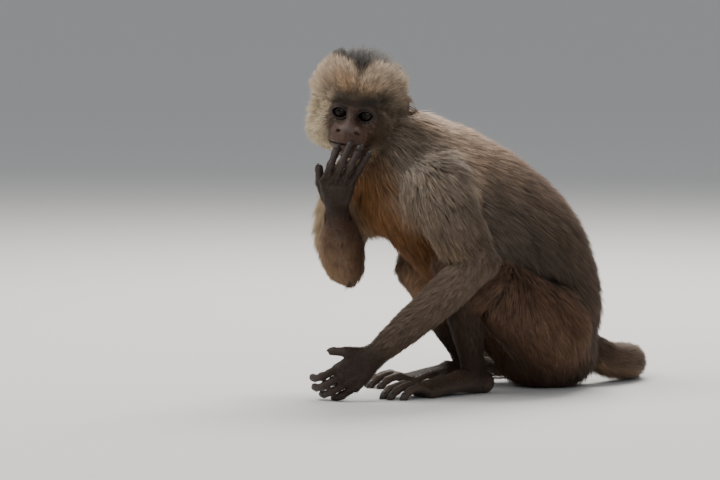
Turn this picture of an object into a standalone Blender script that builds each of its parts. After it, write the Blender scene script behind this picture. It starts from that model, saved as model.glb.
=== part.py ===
"""A life-size capuchin monkey, sitting on a flat floor with its back arched, its head turned to its left, its right
hand at its mouth and its left hand reaching forward and down. The model is still. Each sub-part is one closed solid
that reaches out to the tips of the coat.

Lengths in the tables are centimetres. While modelling, +X is the animal's left, -Y its front and +Z up, and the floor
is z = 0. At the end everything is moved so that the origin is the middle of the bounding box's base.
"""

import math

import bmesh
import bpy
import numpy as np
from mathutils import Matrix, Vector

for old in list(bpy.data.objects):
    bpy.data.objects.remove(old, do_unlink=True)

CM = 0.01
GAP = 0.0005  # the thin cut between neighbouring sub-parts, m
COARSE_GAP = 0.0015  # the same where the head, thinned out first, cuts what its own coat hides
RING = 20  # sides of a limb's section

# ---------------------------------------------------------------- sizes of the animal, cm
TRUNK_LATERAL = 0.86  # width of the trunk's section over its depth
FINGER_BONES = (1.75, 1.25, 0.85)  # three bones of a finger
FINGER_LENGTHS = (0.92, 1.04, 1.0, 0.84)  # index to little finger, over the middle one's bones
FINGER_R = 0.40
THUMB_BONES = (1.55, 1.25)
TOE_BONES = (1.75, 1.35, 0.9)
TOE_LENGTHS = (0.92, 1.04, 1.0, 0.86)
TOE_R = 0.42
EYE_R = 0.8
EYE_AT = (1.17, -2.38, -0.38)  # left eye's centre in the head's own axes


def spin(axis, degrees):
    return np.array(Matrix.Rotation(math.radians(degrees), 3, Vector(axis)))


def unit(v):
    v = np.asarray(v, float)
    return v / np.linalg.norm(v)


# The head's own axes: +x its left, -y its face, +z its crown
HEAD_AT = np.array((-0.3, -8.9, 25.8))
HEAD_TURN = spin((0, 0, 1), 55) @ spin((1, 0, 0), 6) @ spin((0, 1, 0), 9)


def in_head(x, y, z):
    return HEAD_AT + HEAD_TURN @ np.array((x, y, z), float)


# ---------------------------------------------------------------- shapes


def limb(stations, lateral=None, sides=RING, steps=4):
    """A tube through (point, radius) stations on a Catmull-Rom curve, with round ends. lateral squeezes its width
    along X. Returns a bmesh."""
    pts = [np.asarray(s[0], float) for s in stations]
    rad = [float(s[1]) for s in stations]
    if len(pts) == 2:
        line = [(pts[0] * (1 - t) + pts[1] * t, rad[0] * (1 - t) + rad[1] * t) for t in np.linspace(0, 1, steps + 1)]
    else:
        ext = [2 * pts[0] - pts[1], *pts, 2 * pts[-1] - pts[-2]]
        exr = [rad[0], *rad, rad[-1]]
        line = []
        for i in range(1, len(ext) - 2):
            for k in range(steps):
                t = k / steps
                w = (-t + 2 * t * t - t**3, 2 - 5 * t * t + 3 * t**3, t + 4 * t * t - 3 * t**3, -t * t + t**3)
                line.append(
                    (
                        sum(a * p for a, p in zip(w, ext[i - 1 : i + 3])) / 2,
                        sum(a * p for a, p in zip(w, exr[i - 1 : i + 3])) / 2,
                    )
                )
        line.append((pts[-1], rad[-1]))
    rings = []
    n = len(line)
    for i, (p, r) in enumerate(line):
        d = unit(line[min(i + 1, n - 1)][0] - line[max(i - 1, 0)][0])
        if i == 0:
            for a in (80, 60, 40, 20):
                rings.append((p - d * r * math.sin(math.radians(a)), r * math.cos(math.radians(a)), d))
        rings.append((p, r, d))
        if i == n - 1:
            for a in (20, 40, 60, 80):
                rings.append((p + d * r * math.sin(math.radians(a)), r * math.cos(math.radians(a)), d))
    bm = bmesh.new()
    side = unit(np.cross(rings[0][2], (0, 0, 1) if abs(rings[0][2][2]) < 0.9 else (0, 1, 0)))
    if lateral is not None:
        side = np.array((1.0, 0, 0))
    loops = []
    for p, r, d in rings:
        side = unit(side - (side @ d) * d)
        up = np.cross(side, d)
        loops.append(
            [
                bm.verts.new(
                    (p + r * (math.cos(a) * side * (lateral or 1.0) + math.sin(a) * up)) * CM
                )
                for a in [2 * math.pi * k / sides for k in range(sides)]
            ]
        )
    for a, b in zip(loops, loops[1:]):
        for k in range(sides):
            bm.faces.new((a[k], a[(k + 1) % sides], b[(k + 1) % sides], b[k]))
    bm.faces.new(loops[0])
    bm.faces.new(loops[-1])
    bmesh.ops.recalc_face_normals(bm, faces=bm.faces)
    return bm


def ball(at, radii, turn=None, level=3):
    bm = bmesh.new()
    bmesh.ops.create_icosphere(bm, subdivisions=level, radius=1.0)
    m = np.eye(4)
    m[:3, :3] = (np.eye(3) if turn is None else turn) @ np.diag(np.asarray(radii, float)) * CM
    m[:3, 3] = np.asarray(at, float) * CM
    bmesh.ops.transform(bm, matrix=Matrix(m.tolist()), verts=bm.verts)
    bmesh.ops.recalc_face_normals(bm, faces=bm.faces)
    return bm


def eyeball(at, radius):
    bm = bmesh.new()
    bmesh.ops.create_uvsphere(bm, u_segments=14, v_segments=8, radius=radius * CM)
    turn = Matrix(HEAD_TURN.tolist()).to_4x4() @ Matrix.Rotation(math.pi / 2, 4, "X")
    bmesh.ops.transform(bm, matrix=Matrix.Translation((in_head(*at) * CM).tolist()) @ turn, verts=bm.verts)
    bmesh.ops.recalc_face_normals(bm, faces=bm.faces)
    return bm


def head_ball(at, radii, level=3):
    return ball(in_head(*at), radii, HEAD_TURN, level)


def object_of(name, shapes):
    """One object holding these bmeshes."""
    mesh = bpy.data.meshes.new(name)
    joined = bmesh.new()
    for bm in shapes:
        part = bpy.data.meshes.new("part")
        bm.to_mesh(part)
        joined.from_mesh(part)
        bpy.data.meshes.remove(part)
        bm.free()
    joined.to_mesh(mesh)
    joined.free()
    obj = bpy.data.objects.new(name, mesh)
    bpy.context.scene.collection.objects.link(obj)
    return obj


def bake(obj):
    """Applies the object's modifiers."""
    bpy.context.view_layer.update()
    graph = bpy.context.evaluated_depsgraph_get()
    made = bpy.data.meshes.new_from_object(obj.evaluated_get(graph))
    obj.modifiers.clear()
    old = obj.data
    obj.data = made
    bpy.data.meshes.remove(old)
    return obj


def flesh(name, shapes, triangles, voxel=0.0024, smooth=6):
    """The shapes melted into one skin, smoothed, and thinned to about this many triangles."""
    obj = object_of(name, shapes)
    melt = obj.modifiers.new("Melt", "REMESH")
    melt.mode, melt.voxel_size, melt.adaptivity = "VOXEL", voxel, 0.0
    soft = obj.modifiers.new("Soft", "SMOOTH")
    soft.factor, soft.iterations = 0.5, smooth
    bake(obj)
    thin = obj.modifiers.new("Thin", "DECIMATE")
    thin.ratio = min(1.0, triangles / (2.0 * len(obj.data.polygons)))
    thin.use_collapse_triangulate = True
    bake(obj)
    return obj


def grown(obj, by=GAP, keep=1.0):
    """A copy of the object, pushed out along its normals, that cuts its neighbours. keep thins it first."""
    copy = bpy.data.objects.new(obj.name + "_cutter", obj.data.copy())
    bpy.context.scene.collection.objects.link(copy)
    if keep < 1.0:
        thin = copy.modifiers.new("Thin", "DECIMATE")
        thin.ratio = keep
    swell = copy.modifiers.new("Swell", "DISPLACE")
    swell.mid_level, swell.strength, swell.direction = 0.0, by, "NORMAL"
    bake(copy)
    return copy


def biggest_island(obj):
    """Leaves only the object's largest closed body."""
    bm = bmesh.new()
    bm.from_mesh(obj.data)
    left, islands = set(bm.verts), []
    while left:
        seed = left.pop()
        group, todo = {seed}, [seed]
        while todo:
            for e in todo.pop().link_edges:
                for v in e.verts:
                    if v in left:
                        left.discard(v)
                        group.add(v)
                        todo.append(v)
        islands.append(group)
    islands.sort(key=len)
    bmesh.ops.delete(bm, geom=[v for g in islands[:-1] for v in g], context="VERTS")
    bm.to_mesh(obj.data)
    bm.free()
    return obj


def carve(obj, cutters):
    """Takes the cutters' space away from the object."""
    for cutter in cutters:
        cut = obj.modifiers.new("Cut", "BOOLEAN")
        cut.operation, cut.solver, cut.object = "DIFFERENCE", "EXACT", cutter
        bake(obj)
    return biggest_island(obj)


def drop(objects):
    for o in objects:
        bpy.data.objects.remove(o, do_unlink=True)


# ---------------------------------------------------------------- trunk and neck: (x, y, z), skin radius, coat depth
TRUNK = (
    ((0, -4.9, 20.5), 3.4, 1.0),
    ((0, -3.8, 19.5), 4.7, 1.2),
    ((0, 1.2, 16.2), 5.75, 1.2),
    ((0, 6.2, 12.3), 5.7, 1.2),
    ((0, 8.9, 8.2), 4.8, 1.2),
    ((0, 9.9, 4.4), 3.7, 0.85),
)
NECK = (
    ((0.0, -4.9, 21.0), 3.5, 1.3),
    ((-0.4, -6.2, 22.5), 3.1, 1.4),
    ((-0.8, -7.4, 23.8), 2.7, 1.3),
)
ARMS = {
    "l": {
        "upper": (((4.5, -3.6, 18.9), 2.2, 1.1), ((6.7, -2.9, 15.4), 1.8, 1.0), ((8.2, -1.2, 12.4), 1.3, 0.5)),
        "fringe": (((6.7, -3.0, 13.6), (2.1, 2.1, 2.3)),),
        "fore": (((8.2, -1.2, 12.2), 1.35, 0.5), ((7.6, -3.8, 9.7), 1.35, 0.5), ((6.5, -7.2, 6.6), 1.15, 0.4), ((5.6, -10.0, 4.1), 0.9, 0.3)),
    },
    "r": {
        "upper": (((-4.0, -6.9, 18.3), 2.3, 1.2), ((-5.8, -7.9, 14.4), 1.75, 0.95), ((-6.4, -7.5, 11.2), 1.3, 0.55)),
        "fringe": (),
        "fore": (((-6.4, -7.5, 11.1), 1.4, 0.5), ((-4.3, -8.8, 12.9), 1.4, 0.55), ((-1.0, -10.6, 15.1), 1.2, 0.4), ((1.5, -11.9, 17.0), 0.9, 0.3)),
    },
}
LEGS = {
    "l": {
        "thigh": (((3.7, 7.7, 5.6), 3.1, 0.9), ((4.5, 2.9, 9.1), 2.65, 0.75), ((3.9, -1.3, 11.6), 1.6, 0.5)),
        "shin": (((3.9, -1.3, 11.5), 1.55, 0.45), ((3.8, -0.4, 7.4), 1.4, 0.4), ((3.7, 0.4, 2.6), 0.85, 0.25)),
        "ankle": (3.7, 0.6, 1.9),
        "toes_to": (4.5, -5.0, 1.25),
    },
    "r": {
        "thigh": (((-3.6, 8.2, 5.6), 3.1, 0.9), ((-4.5, 3.4, 8.8), 2.65, 0.75), ((-4.1, -1.2, 10.9), 1.6, 0.5)),
        "shin": (((-4.12, -1.05, 10.6), 1.53, 0.45), ((-4.0, 1.0, 7.0), 1.4, 0.4), ((-3.9, 3.3, 2.6), 0.85, 0.25)),
        "ankle": (-3.9, 3.6, 1.9),
        "toes_to": (-4.6, -2.0, 1.25),
    },
}
# The tail lies on the floor behind and curls round to the right, with its tip bent in
TAIL = (
    ((0.0, 12.6, 4.4), 1.05, 0.8),
    ((0.2, 15.6, 2.3), 1.0, 0.75),
    ((-1.2, 18.6, 1.65), 0.95, 0.75),
    ((-4.4, 20.4, 1.58), 0.9, 0.75),
    ((-8.2, 20.3, 1.5), 0.82, 0.75),
    ((-11.6, 18.2, 1.42), 0.76, 0.72),
    ((-13.5, 14.7, 1.34), 0.7, 0.7),
    ((-13.4, 10.8, 1.24), 0.64, 0.66),
    ((-11.3, 7.9, 1.1), 0.58, 0.58),
    ((-8.6, 8.2, 0.95), 0.5, 0.5),
    ((-8.0, 10.2, 0.8), 0.42, 0.42),
)
TAIL_CUTS = (2, 4, 6, 8)  # stations where one length of the tail ends and the next starts

# wrist, direction of the palm, direction towards the little finger, and which way round the back of the hand is
HANDS = {
    "l": {"wrist": (5.5, -10.2, 3.98), "along": (-0.08, -0.80, -0.59), "little": (0.23, 0.56, -0.79), "flip": 1.0, "spread": 2.5,
          "lean": -6.0, "curl": (30, 40, 28), "thumb": ((0.0, -0.96, 0.16), (-0.3, -0.93, 0.05))},
    "r": {"wrist": (1.88, -12.1, 17.26), "along": (0.72, -0.31, 0.62), "little": (0.38, 0.92, -0.03), "flip": -1.0, "spread": 5.0,
          "lean": 24.0, "curl": (37, 42, 16), "thumb": ((0.1, -0.52, 0.85), (0.2, -0.2, 0.96))},
}


def coat(stations, depth=1.0):
    """The stations with the coat's depth added to the skin's radius."""
    return [(p, r + depth * c) for p, r, c in stations]


def curled(start, ahead, hinge, bones, curls, radius, taper=0.93):
    """Joints of a finger or toe that starts at start, points ahead and bends about hinge by these angles."""
    joints, d = [np.asarray(start, float)], unit(ahead)
    for length, angle in zip(bones, curls):
        d = spin(hinge, angle) @ d
        joints.append(joints[-1] + d * length)
    return [(p, radius * taper**k) for k, p in enumerate(joints)]


def hand(side):
    """Tubes for the palm's bones, the fingers and the thumb."""
    h = HANDS[side]
    wrist, along = np.array(h["wrist"]), unit(h["along"])
    little = unit(np.array(h["little"]) - (np.array(h["little"]) @ along) * along)
    back = np.cross(along, little) * h["flip"]
    tubes = []
    for k in range(4):
        off = (k - 1.5) / 1.5
        knuckle = wrist + along * (3.35 - 0.22 * off * off - 0.12 * off) + little * off * 1.12 + back * (0.12 - 0.15 * off * off)
        tubes.append([(wrist + little * off * 0.45, 0.62), (wrist + along * 1.7 + little * off * 0.85, 0.6), (knuckle, 0.5)])
        ahead = spin(back, h["flip"] * (h["lean"] + off * h["spread"])) @ along
        # bending towards the palm is a turn about the line of the knuckles
        tubes.append(curled(knuckle, ahead, little * h["flip"], [b * FINGER_LENGTHS[k] for b in FINGER_BONES], h["curl"], FINGER_R))
    root = wrist + along * 0.7 - little * 0.75 - back * 0.25
    t1, t2 = (unit(t) for t in h["thumb"])
    mid = root + t1 * THUMB_BONES[0]
    tubes.append([(root, 0.6), (mid, 0.47), (mid + t2 * THUMB_BONES[1], 0.4)])
    return tubes


def foot(side):
    """Tubes for the heel, the sole's bones, the four toes and the big toe that stands out from them."""
    g = LEGS[side]
    ankle, toes_to = np.array(g["ankle"]), np.array(g["toes_to"])
    ahead = unit(toes_to - ankle)
    ahead = unit((ahead[0], ahead[1], 0))
    outward = np.array((-ahead[1], ahead[0], 0)) * (1 if side == "l" else -1)
    heel = np.array((ankle[0], ankle[1], 0)) - ahead * 0.9
    tubes = [[(heel + (0, 0, 0.93), 1.05), (heel + ahead * 2.6 + (0, 0, 1.25), 1.0)], [(ankle + (0, 0, 0.6), 0.95), (ankle - (0, 0, 0.5), 1.0)]]
    reach = np.linalg.norm((toes_to - heel)[:2])
    for k in range(4):
        off = (k - 1.5) / 1.5
        ball_joint = heel + ahead * (reach - 0.25 * off * off) + outward * off * 1.1 + (0, 0, 0.56 - 0.06 * off * off)
        tubes.append([(heel + ahead * 1.2 + outward * off * 0.4 + (0, 0, 1.15), 0.9), (heel + ahead * reach * 0.55 + outward * off * 0.8 + (0, 0, 0.98), 0.75), (ball_joint, 0.6)])
        out = unit(ahead + outward * off * 0.1)
        hinge = np.cross(out, (0, 0, 1))
        tubes.append(curled(ball_joint, unit(out + (0, 0, 0.36)), hinge, [b * TOE_LENGTHS[k] for b in TOE_BONES], (0, -34, -26), TOE_R))
    root = heel + ahead * (reach * 0.42) - outward * 0.9 + (0, 0, 0.8)
    mid = root + unit(ahead * 0.72 - outward * 0.62) * 1.9 - (0, 0, 0.27)
    tubes.append([(root, 0.72), (mid, 0.52), (mid + unit(ahead * 0.95 - outward * 0.25 - (0, 0, 0.07)) * 1.6, 0.45)])
    return tubes


# ---------------------------------------------------------------- solids
floor = bpy.data.objects.new("floor_cutter", bpy.data.meshes.new("floor_cutter"))
bpy.context.scene.collection.objects.link(floor)
bm = bmesh.new()
bmesh.ops.create_cube(bm, size=1.0)
bmesh.ops.transform(bm, matrix=Matrix.Translation((0, 0, -0.5)) @ Matrix.Scale(1.0, 4), verts=bm.verts)
bm.to_mesh(floor.data)
bm.free()

trunk = flesh(
    "trunk",
    [
        limb(coat(TRUNK), TRUNK_LATERAL, sides=32),
        ball((2.6, -3.9, 18.5), (3.5, 3.3, 3.8)),
        ball((-2.6, -6.0, 18.0), (3.4, 3.3, 3.7)),
        ball((0, 9.6, 3.3), (5.2, 4.6, 3.42)),
    ],
    640,
    voxel=0.003,
    smooth=10,
)
neck = flesh("neck", [limb(coat(NECK))], 160, voxel=0.003)
head = flesh(
    "head",
    [
        head_ball((0, 1.1, 0.4), (4.6, 4.3, 4.6)),
        head_ball((1.65, 0.9, 1.6), (2.9, 3.2, 2.9)),
        head_ball((-1.75, 0.9, 1.7), (2.9, 3.2, 2.95)),
        head_ball((2.0, 0.3, -1.7), (2.7, 2.9, 2.7)),
        head_ball((-2.1, 0.3, -1.7), (2.7, 2.9, 2.7)),
        head_ball((0, -1.4, -3.2), (2.3, 2.3, 1.5)),
        head_ball((0, -3.05, -2.3), (2.0, 1.8, 1.55)),
        head_ball((1.5, -1.9, -1.5), (1.6, 1.7, 1.6)),
        head_ball((-1.5, -1.9, -1.5), (1.6, 1.7, 1.6)),
        head_ball((1.17, -2.25, -0.4), (1.15, 0.87, 0.95)),
        head_ball((-1.17, -2.25, -0.4), (1.15, 0.87, 0.95)),
        limb([(in_head(-1.8, -2.6, 0.8), 0.5), (in_head(0, -2.8, 0.75), 0.6), (in_head(1.8, -2.6, 0.8), 0.5)]),
        limb([(in_head(0, -2.6, 0.4), 0.55), (in_head(0, -4.2, -1.3), 0.6)]),
        limb([(in_head(-0.62, -4.4, -1.6), 0.42), (in_head(0.62, -4.4, -1.6), 0.42)]),
    ],
    860,
    voxel=0.0016,
    smooth=5,
)
eyes, eye_cutters = {}, []
for side, sign in (("l", 1), ("r", -1)):
    eyes[side] = object_of("eye_" + side, [eyeball((sign * EYE_AT[0], EYE_AT[1], EYE_AT[2]), EYE_R)])
    eye_cutters.append(grown(eyes[side]))
head = carve(head, eye_cutters)
ears = {
    side: flesh("ear_" + side, [head_ball((sign * 4.0, 0.9, -0.2), (1.0, 0.85, 1.2))], 80, voxel=0.002, smooth=2)
    for side, sign in (("l", 1), ("r", -1))
}
head_cutter, trunk_cutter = grown(head, COARSE_GAP, 0.4), grown(trunk, 2 * GAP)
close_head_cutter = grown(head)
for side in "lr":
    carve(ears[side], [close_head_cutter])
ear_cutters = [grown(ears["l"]), grown(ears["r"])]
carve(neck, [head_cutter, trunk_cutter, *ear_cutters])
carve(trunk, [floor, head_cutter, *ear_cutters])

nodes = [trunk, neck, head, *eyes.values(), *ears.values()]
cutters = [head_cutter, close_head_cutter, trunk_cutter, *eye_cutters, *ear_cutters]
for side in "lr":
    neck_cutter = grown(neck)
    upper = flesh("upper_arm_" + side, [limb(coat(ARMS[side]["upper"])), *(ball(*b) for b in ARMS[side]["fringe"])], 300)
    carve(upper, [trunk_cutter, neck_cutter, head_cutter])
    upper_cutter = grown(upper)
    fore = flesh("forearm_" + side, [limb(coat(ARMS[side]["fore"]))], 260, voxel=0.002)
    carve(fore, [upper_cutter, trunk_cutter])
    fore_cutter = grown(fore)
    palm = flesh("hand_" + side, [limb(t, sides=14, steps=3) for t in hand(side)], 580, voxel=0.0011, smooth=3)
    carve(palm, [fore_cutter, close_head_cutter, floor])
    g = LEGS[side]
    thigh = flesh("thigh_" + side, [limb(coat(g["thigh"]))], 320)
    carve(thigh, [trunk_cutter, upper_cutter, fore_cutter])
    thigh_cutter = grown(thigh)
    shin = flesh("shin_" + side, [limb(coat(g["shin"]))], 240, voxel=0.002)
    carve(shin, [thigh_cutter, trunk_cutter, fore_cutter])
    shin_cutter = grown(shin)
    sole = flesh("foot_" + side, [limb(t, sides=14, steps=3) for t in foot(side)], 540, voxel=0.0012, smooth=3)
    carve(sole, [shin_cutter, trunk_cutter, floor])
    nodes += [upper, fore, palm, thigh, shin, sole]
    cutters += [neck_cutter, upper_cutter, fore_cutter, thigh_cutter, shin_cutter]

ends = [0, *TAIL_CUTS, len(TAIL) - 1]
before = trunk_cutter
for k, (a, b) in enumerate(zip(ends, ends[1:])):
    # neighbouring lengths share a station, and each is cut back from the one before it
    length = flesh(f"tail_{k + 1}", [limb(coat(TAIL[a : b + 1]), sides=16, steps=6)], 130, voxel=0.0022, smooth=3)
    carve(length, [before, floor])
    before = grown(length)
    cutters.append(before)
    nodes.append(length)
drop([floor, *cutters])

# ---------------------------------------------------------------- materials
COLOURS = {
    "fur_brown": (0.16, 0.115, 0.085, 0.9),
    "fur_pale": (0.42, 0.35, 0.27, 0.9),
    "fur_dark": (0.10, 0.075, 0.06, 0.9),
    "skin": (0.11, 0.075, 0.065, 0.6),
    "eye": (0.02, 0.012, 0.008, 0.08),
}
SLOTS = {"head": "fur_pale", "neck": "fur_pale", "ear": "fur_pale", "eye": "eye", "hand": "skin", "foot": "skin", "tail": "fur_brown", "shin": "fur_dark", "thigh": "fur_dark", "forearm": "fur_dark"}
made = {}
for slot, (r, g_, b_, rough) in COLOURS.items():
    m = bpy.data.materials.new(slot)
    m.use_nodes = True
    shader = m.node_tree.nodes["Principled BSDF"]
    shader.inputs["Base Color"].default_value = (r, g_, b_, 1)
    shader.inputs["Roughness"].default_value = rough
    made[slot] = m

# ---------------------------------------------------------------- origin: middle of the base
bpy.context.view_layer.update()
low = np.array([[min(v.co[i] for v in o.data.vertices) for i in range(3)] for o in nodes]).min(axis=0)
high = np.array([[max(v.co[i] for v in o.data.vertices) for i in range(3)] for o in nodes]).max(axis=0)
shift = Matrix.Translation((-(low[0] + high[0]) / 2, -(low[1] + high[1]) / 2, -low[2]))
for o in nodes:
    o.data.transform(shift)
    slot = next((s for key, s in SLOTS.items() if o.name.startswith(key)), "fur_brown")
    o.data.materials.clear()
    o.data.materials.append(made[slot])
    o.data.shade_smooth()
    o.data.set_sharp_from_angle(angle=math.radians(50))
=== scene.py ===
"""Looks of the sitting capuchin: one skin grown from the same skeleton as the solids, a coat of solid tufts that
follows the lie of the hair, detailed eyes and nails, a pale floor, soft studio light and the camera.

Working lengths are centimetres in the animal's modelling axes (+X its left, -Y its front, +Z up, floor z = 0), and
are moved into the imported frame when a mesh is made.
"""

import math

import bpy
import numpy as np
from mathutils import Matrix, Vector
from mathutils.kdtree import KDTree


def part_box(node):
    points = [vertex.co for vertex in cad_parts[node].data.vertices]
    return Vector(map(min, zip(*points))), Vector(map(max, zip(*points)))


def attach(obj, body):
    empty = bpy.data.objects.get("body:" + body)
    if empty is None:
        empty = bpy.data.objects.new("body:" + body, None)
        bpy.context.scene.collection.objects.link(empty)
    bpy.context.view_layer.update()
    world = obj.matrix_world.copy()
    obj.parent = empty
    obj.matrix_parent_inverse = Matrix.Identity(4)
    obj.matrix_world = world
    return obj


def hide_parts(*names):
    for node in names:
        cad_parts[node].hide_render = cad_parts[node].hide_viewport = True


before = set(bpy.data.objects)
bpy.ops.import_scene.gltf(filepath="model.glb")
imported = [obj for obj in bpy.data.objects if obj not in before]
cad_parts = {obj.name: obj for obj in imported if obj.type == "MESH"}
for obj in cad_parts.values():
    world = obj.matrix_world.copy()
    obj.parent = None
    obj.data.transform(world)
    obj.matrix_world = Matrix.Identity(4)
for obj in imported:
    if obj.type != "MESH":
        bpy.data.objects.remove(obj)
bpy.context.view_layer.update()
RNG = np.random.default_rng(7)

# ------------------------------------------------------------------ small tools


def spin(axis, degrees):
    return np.array(Matrix.Rotation(math.radians(degrees), 3, Vector(axis)))


def unit(v):
    v = np.asarray(v, float)
    return v / np.maximum(np.linalg.norm(v, axis=-1, keepdims=True), 1e-12)


def step01(x, low, high):
    """0 below low, 1 above high, smooth between."""
    t = np.clip((x - low) / (high - low), 0, 1)
    return t * t * (3 - 2 * t)


def lin(r, g, b):
    """Linear colour of a display colour given in 0..255."""
    c = np.array((r, g, b), float) / 255
    return np.where(c <= 0.04045, c / 12.92, ((c + 0.055) / 1.055) ** 2.4)


def noise(p, size, seed=0):
    """Smooth value noise in -1..1 with features of this size, at the points p."""
    q = p / size
    i = np.floor(q).astype(np.int64)
    f = q - i
    f = f * f * (3 - 2 * f)
    out = np.zeros(len(p))
    for dx in (0, 1):
        for dy in (0, 1):
            for dz in (0, 1):
                h = ((i[:, 0] + dx) * 73856093) ^ ((i[:, 1] + dy) * 19349663) ^ ((i[:, 2] + dz) * 83492791) ^ (seed * 2654435761)
                h = (h ^ (h >> 13)) * 1274126177 & 0x7FFFFFFF
                value = (h % 65536) / 32767.5 - 1
                w = (f[:, 0] if dx else 1 - f[:, 0]) * (f[:, 1] if dy else 1 - f[:, 1]) * (f[:, 2] if dz else 1 - f[:, 2])
                out += value * w
    return out


def noise3(p, size, seed=0):
    return np.stack([noise(p, size, seed + 11 * k) for k in range(3)], 1)


# ------------------------------------------------------------------ the skeleton: (point, skin radius, coat depth), cm
HEAD_AT = np.array((-0.3, -8.9, 25.8))
HEAD_TURN = spin((0, 0, 1), 55) @ spin((1, 0, 0), 6) @ spin((0, 1, 0), 9)
EYE_R = 0.8
EYE_AT = np.array((1.17, -2.38, -0.38))
TRUNK_LATERAL = 0.86
FINGER_BONES = (1.75, 1.25, 0.85)
FINGER_LENGTHS = (0.92, 1.04, 1.0, 0.84)
FINGER_R = 0.355
THUMB_BONES = (1.55, 1.25)
TOE_BONES = (1.75, 1.35, 0.9)
TOE_LENGTHS = (0.92, 1.04, 1.0, 0.86)
TOE_R = 0.385

TRUNK = (
    ((0, -4.9, 20.5), 3.4, 1.0),
    ((0, -3.8, 19.5), 4.7, 1.2),
    ((0, 1.2, 16.2), 5.75, 1.2),
    ((0, 6.2, 12.3), 5.7, 1.2),
    ((0, 8.9, 8.2), 4.8, 1.2),
    ((0, 9.9, 4.4), 3.7, 0.85),
)
NECK = (
    ((0.0, -4.9, 21.0), 3.5, 1.3),
    ((-0.4, -6.2, 22.5), 3.1, 1.4),
    ((-0.8, -7.4, 23.8), 2.7, 1.3),
)
ARMS = {
    "l": {
        "upper": (((4.5, -3.6, 18.9), 2.2, 1.1), ((6.7, -2.9, 15.4), 1.8, 1.0), ((8.2, -1.2, 12.4), 1.3, 0.5)),
        "fore": (((8.2, -1.2, 12.2), 1.35, 0.5), ((7.6, -3.8, 9.7), 1.35, 0.5), ((6.5, -7.2, 6.6), 1.15, 0.4), ((5.6, -10.0, 4.1), 0.9, 0.3)),
    },
    "r": {
        "upper": (((-4.0, -6.9, 18.3), 2.3, 1.2), ((-5.8, -7.9, 14.4), 1.75, 0.95), ((-6.4, -7.5, 11.2), 1.3, 0.55)),
        "fore": (((-6.4, -7.5, 11.1), 1.4, 0.5), ((-4.3, -8.8, 12.9), 1.4, 0.55), ((-1.0, -10.6, 15.1), 1.2, 0.4), ((1.5, -11.9, 17.0), 0.9, 0.3)),
    },
}
LEGS = {
    "l": {
        "thigh": (((3.7, 7.7, 5.6), 3.1, 0.9), ((4.5, 2.9, 9.1), 2.65, 0.75), ((3.9, -1.3, 11.6), 1.6, 0.5)),
        "shin": (((3.9, -1.3, 11.5), 1.55, 0.45), ((3.8, -0.4, 7.4), 1.4, 0.4), ((3.7, 0.4, 2.6), 0.85, 0.25)),
        "ankle": (3.7, 0.6, 1.9),
        "toes_to": (4.5, -5.0, 1.25),
    },
    "r": {
        "thigh": (((-3.6, 8.2, 5.6), 3.1, 0.9), ((-4.5, 3.4, 8.8), 2.65, 0.75), ((-4.1, -1.2, 10.9), 1.6, 0.5)),
        "shin": (((-4.12, -1.05, 10.6), 1.53, 0.45), ((-4.0, 1.0, 7.0), 1.4, 0.4), ((-3.9, 3.3, 2.6), 0.85, 0.25)),
        "ankle": (-3.9, 3.6, 1.9),
        "toes_to": (-4.6, -2.0, 1.25),
    },
}
TAIL = (
    ((0.0, 12.6, 4.4), 1.05, 0.8),
    ((0.2, 15.6, 2.3), 1.0, 0.75),
    ((-1.2, 18.6, 1.65), 0.95, 0.75),
    ((-4.4, 20.4, 1.58), 0.9, 0.75),
    ((-8.2, 20.3, 1.5), 0.82, 0.75),
    ((-11.6, 18.2, 1.42), 0.76, 0.72),
    ((-13.5, 14.7, 1.34), 0.7, 0.7),
    ((-13.4, 10.8, 1.24), 0.64, 0.66),
    ((-11.3, 7.9, 1.1), 0.58, 0.58),
    ((-8.6, 8.2, 0.95), 0.5, 0.5),
    ((-8.0, 10.2, 0.8), 0.42, 0.42),
)
HANDS = {
    "l": {"wrist": (5.5, -10.2, 3.98), "along": (-0.08, -0.80, -0.59), "little": (0.23, 0.56, -0.79), "flip": 1.0, "spread": 2.5,
          "lean": -6.0, "curl": (30, 40, 28), "thumb": ((0.0, -0.96, 0.16), (-0.3, -0.93, 0.05))},
    "r": {"wrist": (1.88, -12.1, 17.26), "along": (0.72, -0.31, 0.62), "little": (0.38, 0.92, -0.03), "flip": -1.0, "spread": 5.0,
          "lean": 24.0, "curl": (37, 42, 16), "thumb": ((0.1, -0.52, 0.85), (0.2, -0.2, 0.96))},
}


def in_head(p):
    """Points given in the head's own axes (+x its left, -y its face, +z its crown), in the working axes."""
    return HEAD_AT + np.asarray(p, float) @ HEAD_TURN.T


def to_head(p):
    return (np.asarray(p, float) - HEAD_AT) @ HEAD_TURN


# Where the working axes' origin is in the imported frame, in cm: from the two eyes
eye_mid = sum(np.array(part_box(n), float).mean(axis=0) for n in ("eye_l", "eye_r")) * 50
want = (in_head(EYE_AT) + in_head(EYE_AT * (-1, 1, 1))) / 2
SHIFT = np.array((*(eye_mid - want)[:2], 0.0))


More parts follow.
